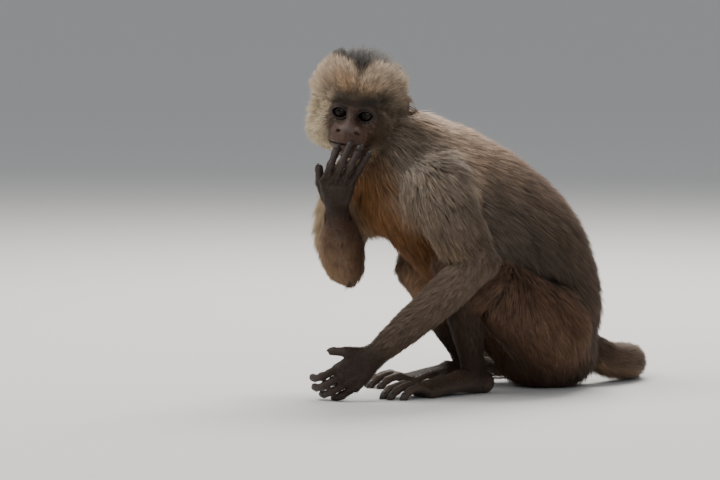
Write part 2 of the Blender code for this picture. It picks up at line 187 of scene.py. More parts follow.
def smooth_line(pts, values, steps=4):
    """Catmull-Rom through the points, carrying the values along."""
    pts = [np.asarray(p, float) for p in pts]
    rows = [np.concatenate([p, np.atleast_1d(np.asarray(v, float))]) for p, v in zip(pts, values)]
    if len(rows) == 2:
        return np.array([rows[0] * (1 - t) + rows[1] * t for t in np.linspace(0, 1, 3)])
    ext = [2 * rows[0] - rows[1], *rows, 2 * rows[-1] - rows[-2]]
    ext[0][3:], ext[-1][3:] = rows[0][3:], rows[-1][3:]
    out = []
    for i in range(1, len(ext) - 2):
        for k in range(steps):
            t = k / steps
            w = (-t + 2 * t * t - t**3, 2 - 5 * t * t + 3 * t**3, t + 4 * t * t - 3 * t**3, -t * t + t**3)
            out.append(sum(a * r for a, r in zip(w, ext[i - 1 : i + 3])) / 2)
    out.append(rows[-1])
    return np.array(out)


# ------------------------------------------------------------------ implicit shapes
class Tube:
    """A round tube along a curve: distance to its surface. lateral squeezes it along X."""

    def __init__(self, stations, k, zone, lateral=1.0, steps=4):
        line = smooth_line([s[0] for s in stations], [tuple(np.atleast_1d(s[1:])) for s in stations], steps)
        self.a, self.b = line[:-1, :3].copy(), line[1:, :3].copy()
        self.ra, self.rb = line[:-1, 3], line[1:, 3]
        self.ca, self.cb = (line[:-1, 4], line[1:, 4]) if line.shape[1] > 4 else (np.zeros(len(line) - 1),) * 2
        self.k, self.zone, self.lateral = k, zone, lateral
        self.along = unit(self.b - self.a)

    def nearest(self, p):
        """Distance, segment index and place along it."""
        q = p / (self.lateral, 1, 1) if self.lateral != 1 else p
        best = np.full(len(p), 1e9)
        seg = np.zeros(len(p), int)
        place = np.zeros(len(p))
        for i in range(len(self.a)):
            ab = self.b[i] - self.a[i]
            ap = q - self.a[i] / ((self.lateral, 1, 1) if self.lateral != 1 else 1)
            t = np.clip(ap @ ab / (ab @ ab), 0, 1)
            off = ap - t[:, None] * ab
            d = np.sqrt(np.einsum("ij,ij->i", off, off)) - (self.ra[i] + (self.rb[i] - self.ra[i]) * t)
            closer = d < best
            best[closer], seg[closer], place[closer] = d[closer], i, t[closer]
        return best, seg, place

    def segment(self, p, i):
        q = p / (self.lateral, 1, 1) if self.lateral != 1 else p
        ab = self.b[i] - self.a[i]
        ap = q - self.a[i] / ((self.lateral, 1, 1) if self.lateral != 1 else 1)
        t = np.clip(ap @ ab / (ab @ ab), 0, 1)
        off = ap - t[:, None] * ab
        return np.sqrt(np.einsum("ij,ij->i", off, off)) - (self.ra[i] + (self.rb[i] - self.ra[i]) * t)

    def d(self, p, which=None):
        best = None
        for i in range(len(self.a)) if which is None else which:
            d = self.segment(p, i)
            best = d if best is None else np.minimum(best, d)
        return best


class Blob:
    """An ellipsoid: centre, radii and its own axes as the columns of turn."""

    def __init__(self, at, radii, k, zone, turn=None, coat=0.0):
        self.at, self.radii, self.turn = np.asarray(at, float), np.asarray(radii, float), np.eye(3) if turn is None else turn
        self.k, self.zone, self.coat = k, zone, coat

    def d(self, p, which=None):
        q = (p - self.at) @ self.turn
        k0 = np.sqrt(np.einsum("ij,ij->i", q / self.radii, q / self.radii))
        k1 = np.sqrt(np.einsum("ij,ij->i", q / self.radii**2, q / self.radii**2))
        return k0 * (k0 - 1) / np.maximum(k1, 1e-9)


def smin(a, b, k):
    h = np.maximum(k - np.abs(a - b), 0) / k
    return np.minimum(a, b) - h * h * k / 4


def smax(a, b, k):
    return -smin(-a, -b, k)


def head_blob(at, radii, k, turn=None):
    return Blob(in_head(at), radii, k, "head", HEAD_TURN if turn is None else HEAD_TURN @ turn)


def head_tube(stations, k):
    return Tube([(in_head(p), r) for p, r in stations], k, "head")


def curled(start, ahead, hinge, bones, curls, radius, taper=0.93):
    joints, d = [np.asarray(start, float)], unit(ahead)
    for length, angle in zip(bones, curls):
        d = spin(hinge, angle) @ d
        joints.append(joints[-1] + d * length)
    return [(p, radius * taper**k) for k, p in enumerate(joints)]


DIGITS = []  # (last joint, tip, radius at tip, direction of the nail's face, digit's scale): nails grow here


def hand(side):
    h = HANDS[side]
    wrist, along = np.array(h["wrist"]), unit(h["along"])
    little = unit(np.array(h["little"]) - (np.array(h["little"]) @ along) * along)
    back = np.cross(along, little) * h["flip"]
    zone = "hand_" + side
    parts = []
    for k in range(4):
        off = (k - 1.5) / 1.5
        knuckle = wrist + along * (3.35 - 0.22 * off * off - 0.12 * off) + little * off * 1.12 + back * (0.12 - 0.15 * off * off)
        parts.append(Tube([(wrist + little * off * 0.45, 0.58), (wrist + along * 1.7 + little * off * 0.85, 0.56), (knuckle, 0.45)], 0.3, zone, steps=3))
        ahead = spin(back, h["flip"] * (h["lean"] + off * h["spread"])) @ along
        hinge = little * h["flip"]
        finger = curled(knuckle, ahead, hinge, [b * FINGER_LENGTHS[k] for b in FINGER_BONES], h["curl"], FINGER_R)
        parts.append(Tube(finger, 0.1, zone, steps=3))
        for joint, r in ((finger[0], 0.44), (finger[1], 0.385), (finger[2], 0.34)):
            parts.append(Blob(joint[0] + back * 0.03, (r,) * 3, 0.12, zone))
        last, tip = finger[2][0], finger[3][0]
        d = unit(tip - last)
        parts.append(Blob(tip - d * 0.12 + np.cross(d, hinge) * 0.04, (0.31, 0.31, 0.31), 0.12, zone))
        DIGITS.append((last, tip, 0.335, unit(np.cross(d, hinge)), 1.0))
    root = wrist + along * 0.7 - little * 0.75 - back * 0.25
    t1, t2 = (unit(t) for t in h["thumb"])
    mid = root + t1 * THUMB_BONES[0]
    tip = mid + t2 * THUMB_BONES[1]
    parts.append(Tube([(root, 0.58), (mid, 0.43), (tip, 0.35)], 0.25, zone, steps=3))
    parts.append(Blob(mid, (0.44,) * 3, 0.15, zone))
    face = -little - 0.35 * back
    DIGITS.append((mid, tip, 0.38, unit(face - (face @ t2) * t2), 1.1))
    return parts, (wrist, along, back)


def foot(side):
    g = LEGS[side]
    ankle, toes_to = np.array(g["ankle"]), np.array(g["toes_to"])
    ahead = unit(toes_to - ankle)
    ahead = unit((ahead[0], ahead[1], 0))
    outward = np.array((-ahead[1], ahead[0], 0)) * (1 if side == "l" else -1)
    heel = np.array((ankle[0], ankle[1], 0)) - ahead * 0.9
    zone = "foot_" + side
    up = np.array((0, 0, 1.0))
    parts = [
        Tube([(heel + up * 0.93, 1.0), (heel + ahead * 2.6 + up * 1.25, 0.94)], 0.4, zone),
        Tube([(ankle + up * 0.6, 0.9), (ankle - up * 0.5, 0.95)], 0.5, zone),
    ]
    reach = np.linalg.norm((toes_to - heel)[:2])
    for k in range(4):
        off = (k - 1.5) / 1.5
        joint = heel + ahead * (reach - 0.25 * off * off) + outward * off * 1.1 + up * (0.56 - 0.06 * off * off)
        parts.append(Tube([(heel + ahead * 1.2 + outward * off * 0.4 + up * 1.15, 0.84), (heel + ahead * reach * 0.55 + outward * off * 0.8 + up * 0.98, 0.69), (joint, 0.54)], 0.3, zone, steps=3))
        out = unit(ahead + outward * off * 0.1)
        hinge = np.cross(out, up)
        toe = curled(joint, unit(out + up * 0.36), hinge, [b * TOE_LENGTHS[k] for b in TOE_BONES], (0, -34, -26), TOE_R)
        parts.append(Tube(toe, 0.1, zone, steps=3))
        for q, r in ((toe[0], 0.5), (toe[1], 0.42), (toe[2], 0.37)):
            parts.append(Blob(q[0], (r,) * 3, 0.12, zone))
        last, tip = toe[2][0], toe[3][0]
        d = unit(tip - last)
        parts.append(Blob(tip - d * 0.1, (0.33,) * 3, 0.12, zone))
        face = np.cross(hinge, d)
        DIGITS.append((last, tip, 0.355, unit(face * np.sign(face @ up)), 1.05))
    root = heel + ahead * (reach * 0.42) - outward * 0.9 + up * 0.8
    mid = root + unit(ahead * 0.72 - outward * 0.62) * 1.9 - up * 0.27
    tip = mid + unit(ahead * 0.95 - outward * 0.25 - up * 0.07) * 1.6
    parts.append(Tube([(root, 0.68), (mid, 0.48), (tip, 0.4)], 0.25, zone, steps=3))
    d = unit(tip - mid)
    DIGITS.append((mid, tip, 0.43, unit(up - (up @ d) * d), 1.15))
    return parts, (heel, ahead, outward)


# ---- body
PARTS = [
    Tube(TRUNK, 0.6, "trunk", TRUNK_LATERAL),
    Blob((2.6, -3.9, 18.5), (2.5, 2.3, 2.8), 0.9, "trunk", coat=1.1),
    Blob((-2.6, -6.0, 18.0), (2.4, 2.3, 2.7), 0.9, "trunk", coat=1.1),
    Blob((0, 9.6, 3.1), (4.2, 3.7, 2.95), 0.9, "trunk", coat=0.8),
    Tube(NECK, 0.8, "neck"),
]
for side in "lr":
    PARTS.append(Tube(ARMS[side]["upper"], 1.9, "upper_" + side))
    PARTS.append(Tube(ARMS[side]["fore"], 0.5, "fore_" + side))
    PARTS.append(Tube(LEGS[side]["thigh"], 2.0, "thigh_" + side))
    PARTS.append(Tube(LEGS[side]["shin"], 0.5, "shin_" + side))
PARTS.append(Tube(TAIL, 0.8, "tail"))
FRAMES = {}
for side in "lr":
    parts, FRAMES["hand_" + side] = hand(side)
    PARTS += parts
    parts, FRAMES["foot_" + side] = foot(side)
    PARTS += parts

# ---- head: skull, jaws, muzzle, brow, lids and ears, in the head's own axes
EAR_AXES = {s: np.array(((0.64 * s, 0.77 * s, 0.0), (0.77, -0.64, 0.0), (0.0, 0.0, 1.0))) for s in (1, -1)}
for s in (1, -1):
    # columns: across the ear, out of its dish, up it
    EAR_AXES[s] = np.stack([np.array((0.64 * s, 0.77, 0.0)), np.array((0.77 * s, -0.64, 0.0)), np.array((0.0, 0.0, 1.0))], 1)
HEAD_PARTS = [
    head_blob((0, 0.9, 0.55), (3.15, 3.5, 3.15), 0.6),
    head_blob((0, -1.35, -3.05), (1.9, 2.1, 1.45), 0.7),
    head_blob((0, -2.98, -2.3), (1.78, 1.7, 1.4), 0.5),
    head_blob((0, -2.75, -3.35), (1.25, 1.35, 0.85), 0.5),
    head_tube([((-1.75, -2.4, 0.72), 0.46), ((-0.9, -2.72, 0.68), 0.5), ((0, -2.78, 0.6), 0.5), ((0.9, -2.72, 0.68), 0.5), ((1.75, -2.4, 0.72), 0.46)], 0.5),
    head_tube([((0, -2.5, 0.4), 0.5), ((0, -3.5, -0.7), 0.43), ((0, -4.2, -1.4), 0.45)], 0.55),
    head_tube([((-0.74, -4.22, -1.74), 0.35), ((0, -4.5, -1.62), 0.36), ((0.74, -4.22, -1.74), 0.35)], 0.3),
    head_tube([((-1.08, -3.95, -1.85), 0.28), ((-0.86, -4.2, -1.5), 0.25)], 0.25),
    head_tube([((1.08, -3.95, -1.85), 0.28), ((0.86, -4.2, -1.5), 0.25)], 0.25),
]
for s in (1, -1):
    HEAD_PARTS += [
        head_blob((1.95 * s, 0.1, -2.3), (1.35, 1.9, 1.55), 0.8),
        head_blob((1.55 * s, -1.75, -1.35), (1.35, 1.45, 1.3), 0.6),
        head_blob((EYE_AT[0] * s, EYE_AT[1] + 0.02, EYE_AT[2]), (1.02, 0.93, 0.93), 0.35),
        head_tube([((3.0 * s, 0.7, -0.1), 0.75), ((3.4 * s, 0.9, -0.1), 0.5)], 0.3),
        head_blob((3.56 * s, 1.05, -0.05), (1.12, 0.21, 1.4), 0.25, EAR_AXES[s]),
    ]
PARTS += HEAD_PARTS


def mouth_height(x):
    """The closed mouth's line: its height over the head's own x."""
    return -2.93 - 0.03 * x * x


def almond(x, z):
    """Signed distance to the lids' opening, in its own axes: two arcs that meet at the corners."""
    w, h = 0.67, 0.44
    rc = (w * w + h * h) / (2 * h)
    return np.maximum(np.hypot(x, z + rc - h), np.hypot(x, z - rc + h)) - rc


def lid_axes(q, s):
    """Across and up the eye's opening, with the outer corner a little higher."""
    x, z = (q[:, 0] * s - EYE_AT[0]), q[:, 2] - EYE_AT[2] + 0.02
    tilt = math.radians(6)
    return x * math.cos(tilt) + z * math.sin(tilt), -x * math.sin(tilt) + z * math.cos(tilt)


def fan(x, z):
    """Fine wrinkles that fan out and down from the eye across the cheek, -1..1."""
    r = np.hypot(x, z)
    turn = np.arctan2(-z, x + 0.35)
    reach = step01(r, 0.5, 0.8) * (1 - step01(r, 1.35, 1.9)) * step01(turn, 0.1, 0.5) * (1 - step01(turn, 1.6, 2.1)) * step01(x, -0.25, 0.35)
    return reach * np.sin(turn * 19 + 1.2 * np.sin(r * 4))


def carve_head(d, p):
    """Folds, lids, nostrils, mouth and the ears' dishes."""
    q = to_head(p)
    front = step01(-q[:, 1], 1.2, 2.2)
    for s in (1, -1):
        x, z = lid_axes(q, s)
        a = almond(x, z)
        near = np.exp(-((x / 1.6) ** 2 + (z / 1.3) ** 2))
        # crease over the upper lid, bag under the lower lid
        up = step01(z, -0.1, 0.25)
        d = d + front * near * (0.055 * np.exp(-(((a - 0.17) / 0.05) ** 2)) * up + 0.045 * np.exp(-(((a - 0.21) / 0.055) ** 2)) * (1 - up))
        d = d + front * near * 0.03 * np.exp(-(((a - 0.42) / 0.06) ** 2)) * (1 - up)
        d = d + front * 0.022 * fan(x, z)
        # rim of the lids, a little proud
        d = d - front * 0.03 * np.exp(-(((a - 0.06) / 0.05) ** 2))
        opening = np.maximum(a, q[:, 1] - (EYE_AT[1] - 0.15))
        d = smax(d, -opening, 0.05)
        ball = np.sqrt((q[:, 0] * s - EYE_AT[0]) ** 2 + (q[:, 1] - EYE_AT[1]) ** 2 + (q[:, 2] - EYE_AT[2]) ** 2) - (EYE_R - 0.012)
        d = np.maximum(d, -ball)
        # nostril: a slanting comma that opens forwards and to the side
        n = q - (0.86 * s, -4.56, -1.80)
        u = n[:, 0] * s * 0.80 + n[:, 2] * -0.35 + n[:, 1] * 0.35
        v = n[:, 0] * s * 0.45 + n[:, 2] * 0.88
        w = n[:, 1] * 0.9 - n[:, 0] * s * 0.35
        hole = (np.sqrt((u / 0.25) ** 2 + (v / 0.13) ** 2 + (w / 0.36) ** 2) - 1) * 0.13
        d = smax(d, -hole, 0.07)
        # fold from the nose's wing round the mouth's corner
        fold_x = 1.3 + 0.26 * (-1.5 - q[:, 2])
        fold = np.exp(-(((q[:, 0] * s - fold_x) / 0.10) ** 2)) * step01(-q[:, 2], 1.35, 1.7) * (1 - step01(-q[:, 2], 2.6, 3.2))
        d = d + 0.05 * fold * front
        # dish of the ear
        e = (q - (3.56 * s, 1.05, -0.05)) @ EAR_AXES[s] - (0.05, 0.26, 0.05)
        dish = (np.sqrt((e[:, 0] / 0.82) ** 2 + (e[:, 1] / 0.26) ** 2 + (e[:, 2] / 1.12) ** 2) - 1) * 0.24
        d = smax(d, -dish, 0.1)
    # mouth
    line = q[:, 2] - mouth_height(q[:, 0])
    across = 1 - step01(np.abs(q[:, 0]), 1.55, 1.95)
    d = d + front * across * (0.16 * np.exp(-((line / 0.075) ** 2)) - 0.05 * np.exp(-(((line + 0.22) / 0.14) ** 2)) - 0.045 * np.exp(-(((line - 0.2) / 0.13) ** 2)))
    # groove between nose and lip, and between the nostrils
    d = d + front * 0.035 * np.exp(-((q[:, 0] / 0.1) ** 2)) * step01(-q[:, 2], 1.6, 1.9) * (1 - step01(-q[:, 2], 2.5, 2.8))
    # furrows across the bridge and the brow, fine lines on the muzzle
    brow = np.exp(-((q[:, 0] / 0.9) ** 2)) * step01(q[:, 2], -0.6, 0.1) * (1 - step01(q[:, 2], 1.0, 1.4))
    d = d + front * brow * 0.022 * np.sin(q[:, 2] * 19 + 1.5 * np.cos(q[:, 0] * 2.2))
    muzzle = step01(-q[:, 1], 2.6, 3.4) * step01(-q[:, 2], 0.4, 0.9)
    side = np.abs(q[:, 0])
    d = d + muzzle * 0.012 * np.sin(side * 24 + q[:, 2] * 9 + 2 * np.sin(q[:, 2] * 3)) * step01(side, 0.5, 0.9)
    return d


FOLD = Tube([((5.15, 3.9, 11.9), 0.12), ((5.35, 5.4, 11.35), 0.26), ((5.3, 6.7, 10.9), 0.5), ((4.9, 7.6, 10.5), 0.5), ((4.5, 8.5, 10.1), 0.12)], 0.3, "fold")


def field(p, parts, head):
    d = None
    for part, which in parts:
        one = part.d(p, which)
        d = one if d is None else smin(d, one, part.k)
    if head:
        d = carve_head(d, p)
    elif p[0, 1] > 1 and p[0, 0] > 1 and 8 < p[0, 2] < 14:
        d = smax(d, -FOLD.d(p), 0.7)
    return np.maximum(d, 0.015 - p[:, 2])  # small flats on the floor


H = 0.1  # grid step, cm
LOW = np.array((-16.0, -16.6, -0.4))
BLOCK = 12
COUNT = np.ceil((np.array((11.2, 23.2, 32.4)) - LOW) / (H * BLOCK)).astype(int)


def parts_near(points, reach):
    """For each point, the parts and segments that can matter within reach of it, the rough distance there, and
    whether the head's folds are near."""
    rows, owner = [], []
    for k, part in enumerate(PARTS):
        for i in range(len(part.a)) if isinstance(part, Tube) else (None,):
            rows.append(part.d(points) if i is None else part.segment(points, i))
            owner.append((k, i))
    table = np.stack(rows, 1)
    owner_part = np.array([o[0] for o in owner])
    best = np.stack([table[:, owner_part == k].min(axis=1) for k in range(len(PARTS))], 1)
    rough = best.min(axis=1)
    part_ok = best < (rough + 2 * reach + 0.9)[:, None]
    seg_ok = table < best[:, owner_part] + 2 * reach + 0.05
    out = []
    for row in range(len(points)):
        use = []
        for k in np.nonzero(part_ok[row])[0]:
            idx = np.nonzero((owner_part == k) & seg_ok[row])[0]
            use.append((PARTS[k], [owner[j][1] for j in idx] if isinstance(PARTS[k], Tube) else None))
        out.append(use)
    q = to_head(points)
    folds = (np.linalg.norm(q, axis=1) < 7.5) & ((q[:, 1] < -0.1) | (np.linalg.norm(np.abs(q) * (1, 0, 0) + q * (0, 1, 1) - (3.56, 1.05, -0.05), axis=1) < 2.9))
    return out, rough, folds


def grow_skin():
    """The skin as vertices (cm) and quads, from a sparse grid of blocks."""
    ids = np.stack(np.meshgrid(*[np.arange(n) for n in COUNT], indexing="ij"), -1).reshape(-1, 3)
    centres = LOW + (ids + 0.5) * H * BLOCK
    half = H * BLOCK * 0.87
    rough = np.stack([part.d(centres) for part in PARTS], 1).min(axis=1)
    nodes = COUNT * BLOCK + 1
    grid = np.full(nodes, 1.0, np.float32)
    inside = rough < -half - 0.5
    for i in ids[inside]:
        a = i * BLOCK
        grid[a[0] : a[0] + BLOCK + 1, a[1] : a[1] + BLOCK + 1, a[2] : a[2] + BLOCK + 1] = -1
    steps = np.arange(BLOCK + 1) * H
    local = np.stack(np.meshgrid(steps, steps, steps, indexing="ij"), -1).reshape(-1, 3)
    active = ids[np.abs(rough) < half + 0.5]
    near, _, folds = parts_near(LOW + (active + 0.5) * H * BLOCK, half)
    for i, use, head in zip(active, near, folds):
        a = i * BLOCK
        value = field(LOW + a * H + local, use, head)
        grid[a[0] : a[0] + BLOCK + 1, a[1] : a[1] + BLOCK + 1, a[2] : a[2] + BLOCK + 1] = value.reshape((BLOCK + 1,) * 3)
    solid = grid < 0
    corner = [(x, y, z) for x in (0, 1) for y in (0, 1) for z in (0, 1)]
    cells = np.zeros(nodes - 1, np.uint8)
    n = nodes - 1
    for x, y, z in corner:
        cells += solid[x : x + n[0], y : y + n[1], z : z + n[2]]
    flat = np.nonzero(((cells > 0) & (cells < 8)).ravel())[0]
    cell = np.stack(np.unravel_index(flat, n), 1)
    value = np.stack([grid[cell[:, 0] + x, cell[:, 1] + y, cell[:, 2] + z] for x, y, z in corner], 1).astype(float)
    total = np.zeros((len(cell), 3))
    hits = np.zeros(len(cell))
    for i, a in enumerate(corner):
        for j, b in enumerate(corner):
            if j > i and sum(abs(u - v) for u, v in zip(a, b)) == 1:
                cross = (value[:, i] < 0) != (value[:, j] < 0)
                t = np.where(cross, value[:, i] / np.where(cross, value[:, i] - value[:, j], 1), 0)
                point = np.array(a, float) + t[:, None] * (np.array(b, float) - np.array(a, float))
                total[cross] += point[cross]
                hits += cross
    verts = LOW + (cell + total / hits[:, None]) * H
    quads = []
    for axis in range(3):
        b, c = [k for k in range(3) if k != axis]
        end = corner.index(tuple(1 if k == axis else 0 for k in range(3)))
        first, last = value[:, 0] < 0, value[:, end] < 0
        use = (first != last) & (cell[:, b] > 0) & (cell[:, c] > 0)
        idx = cell[use]
        ring = []
        for db, dc in ((0, 0), (1, 0), (1, 1), (0, 1)):
            other = idx.copy()
            other[:, b] -= db
            other[:, c] -= dc
            key = np.ravel_multi_index(other.T, n)
            ring.append(np.searchsorted(flat, key))
        ring = np.stack(ring, 1)
        turn = first[use] if axis != 1 else ~first[use]
        ring[~turn] = ring[~turn][:, ::-1]
        quads.append(ring)
    return verts, np.concatenate(quads)


def triangles_of(verts, quads):
    """Each quad cut along its shorter diagonal."""
    a, b, c, d = (verts[quads[:, i]] for i in range(4))
    short = np.linalg.norm(a - c, axis=1) <= np.linalg.norm(b - d, axis=1)
    t1 = np.where(short[:, None], quads[:, (0, 1, 2)], quads[:, (0, 1, 3)])
    t2 = np.where(short[:, None], quads[:, (0, 2, 3)], quads[:, (1, 2, 3)])
    return np.concatenate([t1, t2])


def refine(verts, tris, marked):
    """Splits each edge whose two ends are marked, and the triangles round it."""
    edges = np.sort(np.concatenate([tris[:, (0, 1)], tris[:, (1, 2)], tris[:, (2, 0)]]), axis=1)
    key = edges[:, 0] * len(verts) + edges[:, 1]
    uniq, where = np.unique(key, return_inverse=True)
    ends = np.stack([uniq // len(verts), uniq % len(verts)], 1)
    split = marked[ends[:, 0]] & marked[ends[:, 1]]
    mid = np.full(len(uniq), -1)
    mid[split] = len(verts) + np.arange(split.sum())
    verts = np.concatenate([verts, (verts[ends[split, 0]] + verts[ends[split, 1]]) / 2])
    m = mid[where].reshape(3, -1).T
    count = (m >= 0).sum(axis=1)
    out = [tris[count == 0]]
    for shift in range(3):
        t, e = np.roll(tris, -shift, axis=1), np.roll(m, -shift, axis=1)
        one = (count == 1) & (e[:, 0] >= 0)
        out += [np.stack([t[one, 0], e[one, 0], t[one, 2]], 1), np.stack([e[one, 0], t[one, 1], t[one, 2]], 1)]
        two = (count == 2) & (e[:, 2] < 0)
        out += [
            np.stack([e[two, 0], t[two, 1], e[two, 1]], 1),
            np.stack([t[two, 0], e[two, 0], e[two, 1]], 1),
            np.stack([t[two, 0], e[two, 1], t[two, 2]], 1),
        ]
    t, e = tris[count == 3], m[count == 3]
    out += [np.stack(x, 1) for x in ((t[:, 0], e[:, 0], e[:, 2]), (e[:, 0], t[:, 1], e[:, 1]), (e[:, 2], e[:, 1], t[:, 2]), (e[:, 0], e[:, 1], e[:, 2]))]
    marked = np.concatenate([marked, np.ones(split.sum(), bool)])
    return verts, np.concatenate(out), marked


def pull(verts, which, rounds=2):
    """Moves these vertices onto the surface."""
    index = np.nonzero(which)[0]
    p = verts[index].copy()
    block = np.floor((p - LOW) / (H * BLOCK)).astype(int)
    key = np.ravel_multi_index(np.clip(block, 0, COUNT - 1).T, COUNT)
    order = np.argsort(key, kind="stable")
    starts = np.nonzero(np.diff(np.concatenate([[-1], key[order]])))[0]
    ends = np.append(starts[1:], len(order))
    centres = LOW + (np.stack(np.unravel_index(key[order[starts]], COUNT), 1) + 0.5) * H * BLOCK
    near, _, folds = parts_near(centres, H * BLOCK * 0.87)
    eps = 0.008
    moves = np.array(((0, 0, 0), (eps, 0, 0), (0, eps, 0), (0, 0, eps)))
    for s, e, use, head in zip(starts, ends, near, folds):
        pick = order[s:e]
        q = p[pick]
        for _ in range(rounds):
            f = field((q[None] + moves[:, None]).reshape(-1, 3), use, head).reshape(4, -1)
            g = ((f[1:] - f[0]) / eps).T
            size = np.maximum((g * g).sum(axis=1), 0.25)
            step = -(f[0] / size)[:, None] * g
            length = np.linalg.norm(step, axis=1, keepdims=True)
            q = q + step * np.minimum(1, 0.06 / np.maximum(length, 1e-9))
        p[pick] = q
    verts[index] = p
    return verts


def vertex_normals(verts, tris):
    n = np.cross(verts[tris[:, 1]] - verts[tris[:, 0]], verts[tris[:, 2]] - verts[tris[:, 0]])
    out = np.zeros_like(verts)
    for k in range(3):
        for axis in range(3):
            out[:, axis] += np.bincount(tris[:, k], n[:, axis], len(verts))
    return unit(out)


def mesh_object(name, verts, faces, material, colours=None, uv=None, smooth=True):
    """A mesh from cm arrays; colours per vertex (linear), uv per vertex."""
    mesh = bpy.data.meshes.new(name)
    faces = np.asarray(faces)
    mesh.vertices.add(len(verts))
    mesh.vertices.foreach_set("co", ((verts + SHIFT) * 0.01).astype(np.float32).ravel())
    mesh.loops.add(faces.size)
    mesh.loops.foreach_set("vertex_index", faces.astype(np.int32).ravel())
    mesh.polygons.add(len(faces))
    mesh.polygons.foreach_set("loop_start", np.arange(0, faces.size, faces.shape[1], dtype=np.int32))
    mesh.update(calc_edges=True)
    if colours is not None:
        layer = mesh.color_attributes.new("tint", "FLOAT_COLOR", "POINT")
        rgba = np.ones((len(verts), 4), np.float32)
        rgba[:, : colours.shape[1]] = colours
        layer.data.foreach_set("color", rgba.ravel())
    if uv is not None:
        layer = mesh.uv_layers.new(name="OFBake")
        layer.data.foreach_set("uv", uv[faces.ravel()].astype(np.float32).ravel())
    if smooth:
        mesh.polygons.foreach_set("use_smooth", np.ones(len(faces), bool))
    mesh.materials.append(material)
    obj = bpy.data.objects.new(name, mesh)
    bpy.context.scene.collection.objects.link(obj)
    return obj


# ------------------------------------------------------------------ the lie, depth and colours of the coat
def outer(at, radii, turn=None):
    return Blob(in_head(at), radii, 0.5, "head", HEAD_TURN if turn is None else HEAD_TURN @ turn)


HEAD_OUTER = [
    outer((0, 1.1, 0.4), (4.6, 4.3, 4.6)),
    outer((1.65, 0.9, 1.6), (2.9, 3.2, 2.9)),
    outer((-1.75, 0.9, 1.7), (2.9, 3.2, 2.95)),
    outer((2.0, 0.3, -1.7), (2.7, 2.9, 2.7)),
    outer((-2.1, 0.3, -1.7), (2.7, 2.9, 2.7)),
    outer((0, -1.4, -3.2), (2.3, 2.3, 1.5)),
]
BONES = [Tube(TRUNK, 0.6, "trunk", TRUNK_LATERAL), Tube(NECK, 0.6, "neck")]
for side in "lr":
    BONES.append(Tube(ARMS[side]["upper"], 0.6, "upper_" + side))
    BONES.append(Tube(ARMS[side]["fore"], 0.6, "fore_" + side))
    BONES.append(Tube(LEGS[side]["thigh"], 0.6, "thigh_" + side))
    BONES.append(Tube(LEGS[side]["shin"], 0.6, "shin_" + side))
BONES.append(Tube(TAIL, 0.6, "tail"))
ZONES = [b.zone for b in BONES] + ["head", "hand_l", "hand_r", "foot_l", "foot_r"]
ZONE = {name: k for k, name in enumerate(ZONES)}
BONE_START = [np.concatenate([[0], np.cumsum(np.linalg.norm(b.b - b.a, axis=1))]) for b in BONES]
SHOULDER = [Blob((2.6, -3.9, 18.5), (2.5, 2.3, 2.8), 1, ""), Blob((-2.6, -6.0, 18.0), (2.4, 2.3, 2.7), 1, ""), Blob((0, 9.6, 3.1), (4.2, 3.7, 2.95), 1, "")]


